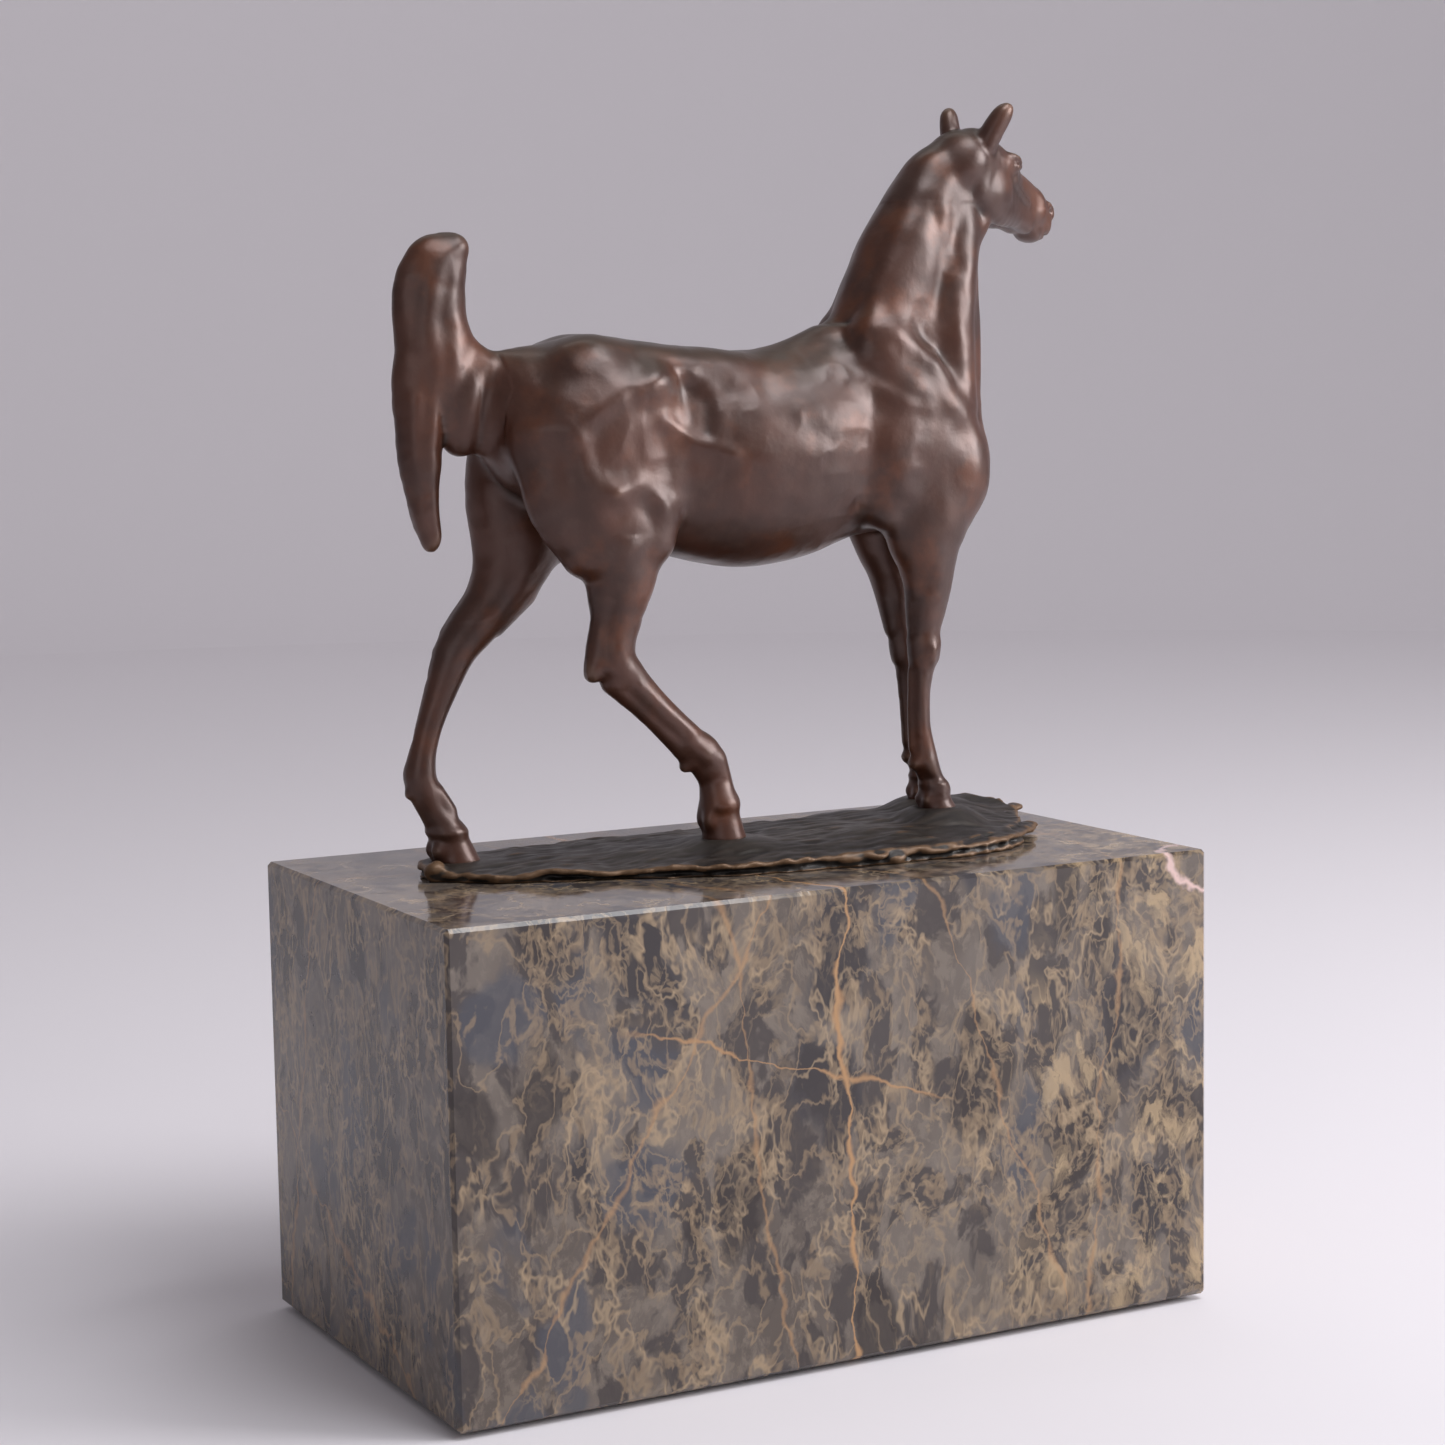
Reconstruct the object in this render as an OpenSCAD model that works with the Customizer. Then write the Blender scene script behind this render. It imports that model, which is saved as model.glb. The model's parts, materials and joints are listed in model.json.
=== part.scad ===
// Bronze horse on a marble block, built the way a foundry assembles one:
// a hollow body casting, four leg castings and a tail casting on tenons, a
// bronze ground plate screwed into the hooves, and a drilled marble block
// that two studs hold to the plate. Millimetres, +X is the horse's heading,
// +Y its left side, +Z up. The origin is the centre of the footprint, on the
// surface that the felt pads stand on.

/* [Marble block] */
// Length of the block
marble_l = 200; // [190:1:220]
// Width of the block
marble_w = 113; // [100:1:140]
// Height of the block
marble_h = 111; // [90:1:140]
// Width of the polished arris along every edge
arris = 0.9; // [0.4:0.1:2]
// Thickness of the felt pads
felt_t = 1.5; // [1:0.5:3]
// Diameter of each felt pad
felt_d = 22; // [16:1:28]
// Distance from the block's sides to the middle of a felt pad
felt_inset = 18; // [15:1:24]

/* [Fixing] */
// Diameter of the fixing studs
stud_d = 6; // [5:1:8]
// Half the distance between the two studs
stud_x = 32; // [28:1:34]
// Clearance hole for a stud through the marble
stud_hole_d = 9; // [9:0.5:12]
// Diameter of the counterbore under the block
counterbore_d = 26; // [24:1:30]
// Depth of the counterbore
counterbore_h = 18; // [14:1:24]
// Thread length of a stud inside the ground plate
stud_grip = 3; // [2:0.5:3]
// Diameter of the hoof screws
screw_d = 2.5; // [2:0.5:3]
// Depth of a hoof screw inside the hoof
screw_bite = 6; // [4:0.5:6.5]

/* [Castings] */
// Wall of the hollow body casting
wall = 3; // [2.5:0.5:4]
// Diameter of the tenon on each foreleg and on the tail
tenon_d = 5; // [4:0.5:5.5]
// Diameter of the tenon on each hind leg
hind_tenon_d = 6; // [5:0.5:6.5]
// Length of the tenons
tenon_l = 9; // [7:0.5:10]
// Diameter of the locating pins
pin_d = 1.6; // [1.2:0.2:2]
// Radial clearance of a tenon, pin or screw in its hole
fit = 0.04; // [0.02:0.01:0.06]

/* [Hidden] */

bronze = "#5a3a2c";
stone = "#6b5c4d";
steel = "#a9adb0";
felt = "#2c3a2e";

top_z = felt_t + marble_h;      // top face of the marble
joint_z = 67.5;                 // height of the leg joints above the marble
tail_joint = [-64, 0, 111.5];   // middle of the tail joint
tail_tilt = 20.5;               // the tail joint leans back by this angle
tail_joint_h = 30;              // height of the joint face
curve_fn = 18;                  // facets round a modelled station
bore_fn = 32;                   // facets round a bore in a casting
big = 300;                      // larger than any piece

// Every station of the castings is [centre, half sizes], measured from the
// middle of the marble's top face.
trunk = [
    [[-50, 0, 106], [13, 17, 17.5]],
    [[-38, 0, 104.5], [14, 20, 22]],
    [[-20, 0, 99.5], [14, 18.5, 24.5]],
    [[0, 0, 96.5], [14, 20.5, 26]],
    [[18, 0, 98], [13, 19, 26]],
    [[34, 0, 103], [12, 16.5, 26]],
    [[52, 0, 96], [13, 15, 20]],
    [[61, 0, 92.5], [10.5, 13, 13]]];
neck = [
    [[54, 0, 98], [17.5, 14, 14]],
    [[50, 0, 112], [22, 12.5, 10]],
    [[51.3, 0, 126], [21.2, 10.5, 8]],
    [[52.2, 0, 138], [19.2, 9.3, 7]],
    [[54, 0.5, 148], [16.8, 8.6, 6]],
    [[58, 1, 158], [12.4, 7.8, 6]],
    [[65, 0.5, 167], [9.3, 7.3, 8]]];
withers = [
    [[22, 0, 110], [8, 9, 17.5]],
    [[33, 0, 121], [7, 8, 15]],
    [[40, 0, 134], [7, 8, 12]]];
head = [
    [[69, -0.8, 167], [8.3, 7, 9.3]],
    [[75.1, 2.6, 164], [8, 6.8, 9.6]],
    [[81.9, 6.4, 162], [7.2, 6, 8.6]],
    [[88.5, 10, 159], [6.2, 5.2, 7]],
    [[97, 14.7, 155.8], [5.4, 5.2, 6.2]]];
ears = [
    [[[66, 4.5, 172], [2.8, 2.8, 4]], [[65.4, 5.6, 180], [2.6, 2.2, 3]]],
    [[[70, -5, 172], [2.8, 2.8, 4]], [[74.6, -7.4, 180.6], [2.4, 2.2, 3]]]];
leg_front_right_stations = [
    [[49, -8.5, 98], [11, 8, 12]],
    [[48.5, -9.3, 78], [13, 7, 8]],
    [[50, -9.5, 72], [8.8, 6, 7]],
    [[50.3, -9.4, 66], [5.8, 5, 6]],
    [[49.5, -9.3, 60], [4.3, 4, 5]],
    [[49, -9.2, 53], [3.5, 3.4, 4]],
    [[49.3, -9.2, 48], [3.8, 3.5, 4]],
    [[48.2, -9.2, 43], [3, 2.9, 3]],
    [[47.7, -9.1, 38], [2.5, 2.5, 4]],
    [[48, -9, 30], [2.5, 2.5, 4]],
    [[49.3, -8.9, 20.5], [3.2, 3, 3.4]],
    [[51.2, -8.8, 16], [3.1, 3, 3]],
    [[52.3, -8.7, 13], [3.9, 3.7, 2.4]]];
leg_front_left_stations = [
    [[49, 8.5, 98], [11, 8, 12]],
    [[49, 9, 77], [13, 7, 8]],
    [[51.5, 9, 71.5], [8.8, 6, 7]],
    [[52, 9, 65], [5.8, 5, 6]],
    [[53.3, 9, 57], [4.3, 4, 5]],
    [[54.4, 9, 50], [3.6, 3.4, 4]],
    [[55, 9, 46.8], [3.8, 3.5, 4]],
    [[55.8, 9, 41.5], [3, 2.9, 3]],
    [[56.3, 9, 37], [2.5, 2.5, 4]],
    [[57.2, 9, 29], [2.5, 2.5, 4]],
    [[58.2, 9, 19.8], [3.2, 3, 3.4]],
    [[59.4, 9, 15.5], [3.1, 3, 3]],
    [[60.2, 9, 12.8], [3.9, 3.7, 2.4]]];
leg_hind_right_stations = [
    [[-40, -10, 103], [15, 9, 14]],
    [[-38, -11, 87], [15, 8.5, 9]],
    [[-35, -11.5, 76], [11.5, 7.5, 7]],
    [[-35, -11.5, 68], [8.3, 6.3, 6]],
    [[-36.5, -11.3, 59], [5.8, 4.8, 5]],
    [[-38, -11, 50.5], [6.2, 4.3, 5]],
    [[-33.5, -11, 46], [5, 3.7, 4.5]],
    [[-24.8, -10.7, 37.5], [4.1, 3.3, 4.2]],
    [[-17.2, -10.3, 30], [4.1, 3.4, 4.2]],
    [[-13.6, -10.2, 26.4], [4.8, 3.8, 4.6]],
    [[-10.7, -10, 20.5], [3.8, 3.5, 3.5]],
    [[-8.8, -10, 15], [5, 4.3, 3]]];
leg_hind_left_stations = [
    [[-42, 10, 103], [15, 9, 14]],
    [[-47.5, 9.5, 93], [15.8, 8.6, 10]],
    [[-49.8, 10.5, 84], [12.6, 8.4, 9]],
    [[-51.5, 11, 74], [10, 7.3, 7]],
    [[-57, 11, 65], [7.6, 6, 6]],
    [[-63, 11, 58.5], [6.1, 5, 5.5]],
    [[-68, 11, 54], [5.5, 4.4, 5]],
    [[-71.2, 11, 46], [4, 3.6, 4.5]],
    [[-75.2, 11, 36], [3.1, 2.9, 4]],
    [[-77.6, 11, 28], [3.2, 3, 4]],
    [[-77.9, 11, 22], [4.2, 3.7, 4]],
    [[-75, 11, 16.4], [3.7, 3.5, 3.6]],
    [[-70.7, 11, 10.5], [4.8, 4.4, 3]]];
rump_core = [[-44, 0, 105], [13, 17, 19]];
tail_rise = [
    [[-56, 0, 113], [8, 7, 10]],
    [[-64, 0, 111], [5.6, 5.2, 12.5]],
    [[-72, 0, 117], [7, 5.4, 15]],
    [[-76.5, 0, 131], [8.8, 5, 12]],
    [[-75, 0, 141.3], [7.6, 4.4, 8]],
    [[-70.6, 0, 145.8], [4, 3.4, 3.8]]];
tail_fall = [
    [[-71, 0, 112], [6, 5.2, 13.5]],
    [[-78, 0, 118], [7.8, 5.4, 15]],
    [[-79.9, 0, 107], [6.6, 5.2, 11]],
    [[-80.3, 0, 96], [4.8, 4.5, 8]],
    [[-79.3, 0, 86], [3.5, 3.6, 6]],
    [[-77.8, 0, 80], [2.3, 2.5, 3.6]]];
point_of_hock = [
    [[-38.6, -11.3, 62], [3.4, 3.4, 4]],
    [[-42.2, -11, 48.3], [2.5, 2.5, 2.7]],
    [[-35, -11, 45.5], [3.6, 3.2, 3.6]]];
ergot = [
    [[-14.5, -10.2, 26.5], [3.6, 3.4, 3.6]],
    [[-16.6, -10.2, 23.6], [2.4, 2.8, 2.4]],
    [[-11, -10, 20], [3, 3, 3]]];

// Each leg: its stations, the middle of its hoof's sole, the hoof's radii at
// the sole and at the crown, the middle of its tenon, the tenon's diameter,
// and the bony points that stand out from the leg.
front_right = [leg_front_right_stations, [53.2, -8.7, 8.7], [4.5, 3.9],
               [50.2, -9.4], tenon_d, []];
front_left = [leg_front_left_stations, [61, 9, 8.3], [4.5, 3.9],
              [51.9, 9], tenon_d, []];
hind_right = [leg_hind_right_stations, [-8, -10, 6], [5.2, 4.9],
              [-35, -11.4], hind_tenon_d, [point_of_hock, ergot]];
hind_left = [leg_hind_left_stations, [-67.8, 11, 3.1], [5.2, 4.8],
             [-55.4, 11], hind_tenon_d, []];
legs = [front_right, front_left, hind_right, hind_left];

// Corners of the ground plate's rim, seen from above.
plate_rim = [[-76, 5], [-66, -7], [-50, -13.5], [-10, -29.5], [12, -31.5],
             [41, -32.5], [63, -23], [79, -7], [84, 5], [82, 19], [60, 25.5],
             [0, 24.5], [-30, 26.5], [-55, 24.5], [-74, 16]];
rim_r = 1.5;                    // rounding of the rim's corners
plate_low = 3;                  // height of the plate at its hind end
plate_slope = 0.024;            // rise of the plate towards the forefeet

pin_reach = 2.2;                // pin past the tenon on each side
leg_pin_bore = 9;               // drilled length behind a leg pin
tail_pin_bore = 12;             // drilled length behind the tail pin
tail_pin_x = 2.6;               // tail pin's distance from the joint face
tenon_root = 1;                 // length of a tenon inside its own casting
screw_tip = 0.5;                // room past the end of a hoof screw
screw_head_r = screw_d;         // countersunk head
screw_head_h = screw_d / 2;
washer_d = 20;
washer_h = 1.6;
nut_af = 1.65 * stud_d;         // width across the nut's flats
nut_h = 0.85 * stud_d;
stud_tail = 2;                  // thread showing past the nut
seat_z = -marble_h + counterbore_h;

function plate_h(x) = plate_low + plate_slope * (x - plate_rim[0][0]);
function hollow(s) = [s[0], [for (r = s[1]) r - wall]];
// A polygon's corners stand this far out for its flats to clear a radius.
function clear_r(r) = (r + fit) / cos(180 / bore_fn);

module station(s)
    translate(s[0]) scale(s[1]) sphere(1.01, $fn = curve_fn);

module chain(stations)
    for (i = [0 : len(stations) - 2])
        hull() {
            station(stations[i]);
            station(stations[i + 1]);
        }

module above_joint()
    translate([-big / 2, -big / 2, joint_z]) cube(big);

module below_joint()
    translate([-big / 2, -big / 2, joint_z - big]) cube(big);

// The space behind the tail joint, where the tail is.
module behind_joint()
    translate(tail_joint) rotate([0, tail_tilt, 0])
        translate([-big, -big / 2, -big / 2]) cube(big);

// The space in front of it, down to the lower edge of the joint.
module front_of_joint()
    translate(tail_joint) rotate([0, tail_tilt, 0])
        translate([0, -big / 2, -tail_joint_h / 2]) cube(big);

module tail_tenon(r, l)
    translate(tail_joint) rotate([0, 90 + tail_tilt, 0])
        cylinder(h = l, r = r, $fn = bore_fn);

module tail_shape() {
    chain(tail_rise);
    chain(tail_fall);
}

module hoof(leg) {
    sole = leg[1];
    crown = leg[0][len(leg[0]) - 1][0];
    hull() {
        translate(sole) cylinder(h = 0.5, r = leg[2][0], $fn = bore_fn);
        translate(crown) cylinder(h = 0.5, r = leg[2][1], $fn = bore_fn);
    }
}

module leg_shape(leg) {
    chain(leg[0]);
    hoof(leg);
    for (bump = leg[5]) chain(bump);
}

module tenon(leg, r, l)
    translate([leg[3][0], leg[3][1], joint_z])
        cylinder(h = l, r = r, $fn = bore_fn);

// The pin across a leg's tenon, driven in from the horse's outer side.
module leg_pin_shape(leg, r, spare) {
    side = sign(leg[3][1]);
    l = leg[4] / 2 + pin_reach;
    translate([leg[3][0], leg[3][1] - side * l, joint_z + tenon_l / 2])
        rotate([-90 * side, 0, 0]) cylinder(h = 2 * l + spare, r = r, $fn = 24);
}

module tail_pin_shape(r, spare)
    translate(tail_joint) rotate([0, tail_tilt, 0])
        translate([tail_pin_x, tenon_d / 2 + pin_reach / 2, 0]) rotate([90, 0, 0])
            cylinder(h = tenon_d + pin_reach + spare, r = r, $fn = 24);

module leg_casting(leg)
    color(bronze) translate([0, 0, top_z]) difference() {
        union() {
            intersection() {
                leg_shape(leg);
                below_joint();
            }
            translate([0, 0, -tenon_root])
                tenon(leg, leg[4] / 2, tenon_l + tenon_root);
        }
        translate(leg[1]) translate([0, 0, -1])
            cylinder(h = screw_bite + 1 + screw_tip, r = clear_r(screw_d / 2), $fn = bore_fn);
        leg_pin_shape(leg, clear_r(pin_d / 2), 0);
    }

module horse_body()
    color(bronze) translate([0, 0, top_z]) difference() {
        union() {
            chain(trunk);
            chain(neck);
            chain(withers);
            chain(head);
            for (ear = ears) chain(ear);
            for (leg = legs) intersection() {
                leg_shape(leg);
                above_joint();
            }
            intersection() {
                tail_shape();
                front_of_joint();
            }
        }
        behind_joint();
        chain([for (s = concat([rump_core], [for (i = [1 : 6]) trunk[i]])) hollow(s)]);
        chain([for (i = [0 : 3]) hollow(neck[i])]);
        for (leg = legs) {
            translate([0, 0, -1]) tenon(leg, leg[4] / 2 + fit, tenon_l + 1.5);
            leg_pin_shape(leg, clear_r(pin_d / 2), leg_pin_bore);
        }
        // Core vents between the sockets and the hollow.
        for (leg = [front_right, front_left, hind_right])
            tenon(leg, 1.5, 30);
        translate([-0.5, 0, 0]) tail_tenon(tenon_d / 2 + fit, tenon_l + 1);
        tail_pin_shape(clear_r(pin_d / 2), tail_pin_bore);
    }

module tail()
    color(bronze) translate([0, 0, top_z]) difference() {
        union() {
            difference() {
                tail_shape();
                front_of_joint();
            }
            tail_tenon(tenon_d / 2, tenon_l);
        }
        tail_pin_shape(clear_r(pin_d / 2), 0);
    }

module plate_mound(leg)
    hull() {
        translate([leg[1][0], leg[1][1], 0])
            cylinder(h = plate_h(leg[1][0]) - 1.5, r = leg[2][0] + 7);
        translate([leg[1][0], leg[1][1], 0])
            cylinder(h = leg[1][2], r = leg[2][0] + 1.5);
    }

module ground_plate()
    color(bronze) translate([0, 0, top_z]) difference() {
        union() {
            hull() for (p = plate_rim)
                translate([p[0], p[1], 0]) cylinder(h = plate_h(p[0]), r = rim_r);
            for (leg = legs) plate_mound(leg);
        }
        for (leg = legs) {
            translate([leg[1][0], leg[1][1], -1])
                cylinder(h = 12, r = screw_d / 2 + fit, $fn = bore_fn);
            translate([leg[1][0], leg[1][1], 0])
                cylinder(h = screw_head_h, r1 = screw_head_r + fit,
                         r2 = screw_d / 2 + fit, $fn = bore_fn);
        }
        for (x = [-stud_x, stud_x])
            translate([x, 0, -1]) cylinder(h = 1 + stud_grip, r = stud_d / 2 + fit,
                                           $fn = bore_fn);
    }

module hoof_screw(leg)
    color(steel) translate([leg[1][0], leg[1][1], top_z]) {
        cylinder(h = leg[1][2] + screw_bite, r = screw_d / 2, $fn = bore_fn);
        cylinder(h = screw_head_h, r1 = screw_head_r, r2 = screw_d / 2,
                 $fn = bore_fn);
    }

module locating_pin(leg)
    color(bronze) translate([0, 0, top_z]) leg_pin_shape(leg, pin_d / 2, 0);

module tail_pin()
    color(bronze) translate([0, 0, top_z]) tail_pin_shape(pin_d / 2, 0);

module marble_base()
    color(stone) translate([0, 0, felt_t]) difference() {
        hull() {
            translate([-marble_l / 2, -marble_w / 2 + arris, arris])
                cube([marble_l, marble_w - 2 * arris, marble_h - 2 * arris]);
            translate([-marble_l / 2 + arris, -marble_w / 2, arris])
                cube([marble_l - 2 * arris, marble_w, marble_h - 2 * arris]);
            translate([-marble_l / 2 + arris, -marble_w / 2 + arris, 0])
                cube([marble_l - 2 * arris, marble_w - 2 * arris, marble_h]);
        }
        for (x = [-stud_x, stud_x]) translate([x, 0, -1]) {
            cylinder(h = marble_h + 2, r = stud_hole_d / 2, $fn = bore_fn);
            cylinder(h = counterbore_h + 1, r = counterbore_d / 2, $fn = 48);
        }
    }

module mounting_stud(x)
    color(steel) translate([x, 0, top_z + seat_z - washer_h - nut_h - stud_tail])
        cylinder(h = stud_tail + nut_h + washer_h - seat_z + stud_grip,
                 r = stud_d / 2, $fn = bore_fn);

module washer(x)
    color(steel) translate([x, 0, top_z + seat_z - washer_h]) difference() {
        cylinder(h = washer_h, r = washer_d / 2, $fn = 48);
        translate([0, 0, -1])
            cylinder(h = washer_h + 2, r = stud_d / 2 + 0.2, $fn = bore_fn);
    }

module nut(x)
    color(steel) translate([x, 0, top_z + seat_z - washer_h - nut_h]) difference() {
        cylinder(h = nut_h, r = nut_af / 2 / cos(30), $fn = 6);
        translate([0, 0, -1])
            cylinder(h = nut_h + 2, r = stud_d / 2 + fit, $fn = bore_fn);
    }

module felt_pad(side_x, side_y)
    color(felt) translate([side_x * (marble_l / 2 - felt_inset),
                           side_y * (marble_w / 2 - felt_inset), 0])
        cylinder(h = felt_t, r = felt_d / 2, $fn = 48);

marble_base();
ground_plate();
horse_body();
tail();
leg_casting(front_right);  // leg_front_right
leg_casting(front_left);  // leg_front_left
leg_casting(hind_right);  // leg_hind_right
leg_casting(hind_left);  // leg_hind_left
hoof_screw(front_right);  // hoof_screw_front_right
hoof_screw(front_left);  // hoof_screw_front_left
hoof_screw(hind_right);  // hoof_screw_hind_right
hoof_screw(hind_left);  // hoof_screw_hind_left
locating_pin(front_right);  // leg_pin_front_right
locating_pin(front_left);  // leg_pin_front_left
locating_pin(hind_right);  // leg_pin_hind_right
locating_pin(hind_left);  // leg_pin_hind_left
tail_pin();
mounting_stud(stud_x);  // mounting_stud_front
mounting_stud(-stud_x);  // mounting_stud_rear
washer(stud_x);  // washer_front
washer(-stud_x);  // washer_rear
nut(stud_x);  // nut_front
nut(-stud_x);  // nut_rear
felt_pad(1, -1);  // felt_pad_front_right
felt_pad(1, 1);  // felt_pad_front_left
felt_pad(-1, -1);  // felt_pad_rear_right
felt_pad(-1, 1);  // felt_pad_rear_left
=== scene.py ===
"""Bronze horse on a marble block: the looks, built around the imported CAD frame.

The castings are modelled as clay is: soft shapes are blended into a distance
grid, a skin is drawn over it, and the skin is cut at the CAD's casting joints.
Lengths in the shape tables are millimetres, heights from the marble's top.
"""
import json
import math

import bmesh
import bpy
import numpy as np
from mathutils import Matrix, Vector

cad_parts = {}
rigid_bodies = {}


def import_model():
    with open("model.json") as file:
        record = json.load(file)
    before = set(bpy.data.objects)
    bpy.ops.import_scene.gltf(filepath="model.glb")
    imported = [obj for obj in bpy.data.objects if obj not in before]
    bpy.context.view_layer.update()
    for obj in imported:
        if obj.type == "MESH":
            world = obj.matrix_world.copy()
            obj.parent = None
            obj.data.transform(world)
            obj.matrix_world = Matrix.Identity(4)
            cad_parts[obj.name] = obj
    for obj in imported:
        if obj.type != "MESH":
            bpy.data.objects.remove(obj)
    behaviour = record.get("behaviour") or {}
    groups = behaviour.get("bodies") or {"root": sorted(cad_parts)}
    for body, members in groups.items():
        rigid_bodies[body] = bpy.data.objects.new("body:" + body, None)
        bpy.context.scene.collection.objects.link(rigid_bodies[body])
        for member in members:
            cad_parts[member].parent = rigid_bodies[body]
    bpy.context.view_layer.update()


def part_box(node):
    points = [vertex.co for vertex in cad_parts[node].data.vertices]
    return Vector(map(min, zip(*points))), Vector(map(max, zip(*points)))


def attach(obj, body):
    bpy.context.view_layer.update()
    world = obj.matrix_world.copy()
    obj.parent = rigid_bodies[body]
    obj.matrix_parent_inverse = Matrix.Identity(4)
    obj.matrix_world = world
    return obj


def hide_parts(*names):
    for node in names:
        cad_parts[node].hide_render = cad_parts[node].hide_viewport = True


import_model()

MM = 0.001
MARBLE_LOW, MARBLE_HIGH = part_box("marble_base")
TOP = MARBLE_HIGH.z / MM
FAR = 9.0                 # distance given to space that no shape has reached
CELL = 0.5
HEAD_FROM_Z = 160         # the head's details are above this height,
HEAD_FROM_X = 74          # or in front of this place,
HEAD_ROUNDS = 10          # and are smoothed by fewer rounds than the rest
BODY_ROUNDS = 60
RELAX_SHARE = 0.5         # how far a round moves a vertex towards its neighbours
JOINT_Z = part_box("horse_body")[0].z / MM - TOP
TAIL_JOINT = Vector((-64, 0, 111.5))
TAIL_TILT = math.radians(20.5)


# ---------------------------------------------------------------- clay grid

class Place:
    """A turned frame of its own for a few shapes, such as the head's."""

    def __init__(self, origin, along, left):
        u = Vector(along).normalized()
        v = Vector(left)
        v = (v - u * v.dot(u)).normalized()
        w = u.cross(v)
        self.origin = np.array(origin, float)
        self.turn = np.array([u, v, w], float)

    def inward(self, x, y, z):
        d = (x - self.origin[0], y - self.origin[1], z - self.origin[2])
        return tuple(sum(row[i] * d[i] for i in range(3)) for row in self.turn)

    def outward(self, points):
        return np.asarray(points) @ self.turn + self.origin


def spline(stations, steps):
    """More stations on a smooth curve through the given ones."""
    s = np.array(stations, float)
    if len(s) < 3:
        return s
    ends = np.concatenate([[2 * s[0] - s[1]], s, [2 * s[-1] - s[-2]]])
    out = []
    for i in range(len(s) - 1):
        p0, p1, p2, p3 = ends[i:i + 4]
        for t in np.arange(steps) / steps:
            out.append(0.5 * (2 * p1 + (p2 - p0) * t
                              + (2 * p0 - 5 * p1 + 4 * p2 - p3) * t * t
                              + (3 * p1 - p0 - 3 * p2 + p3) * t ** 3))
    out.append(s[-1])
    out = np.array(out)
    smallest = s[:, 3:].min(0)
    out[:, 3:] = np.maximum(out[:, 3:], smallest)
    return out


def sweep_distance(x, y, z, a, b):
    """Distance to an ellipsoid that slides from station a to station b."""
    a, b = a.tolist(), b.tolist()
    step = [b[i] - a[i] for i in range(3)]
    size = [(a[i] + b[i]) / 2 for i in (3, 4, 5)]
    pull = [step[i] / size[i] ** 2 for i in range(3)]
    length2 = max(sum(step[i] * pull[i] for i in range(3)), 1e-9)
    dx, dy, dz = x - a[0], y - a[1], z - a[2]
    t = np.clip((dx * pull[0] + dy * pull[1] + dz * pull[2]) / length2, 0, 1)
    rx, ry, rz = [a[i] + t * (b[i] - a[i]) for i in (3, 4, 5)]
    qx = (dx - t * step[0]) / rx
    qy = (dy - t * step[1]) / ry
    qz = (dz - t * step[2]) / rz
    k0 = np.sqrt(qx * qx + qy * qy + qz * qz)
    k1 = np.sqrt((qx / rx) ** 2 + (qy / ry) ** 2 + (qz / rz) ** 2)
    return k0 * (k0 - 1) / np.maximum(k1, 1e-6)


def smooth_min(a, b, blend):
    h = np.maximum(blend - np.abs(a - b), 0) / blend
    return np.minimum(a, b) - h * h * blend / 4


def smooth_max(a, b, blend):
    return -smooth_min(-a, -b, blend)


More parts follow.
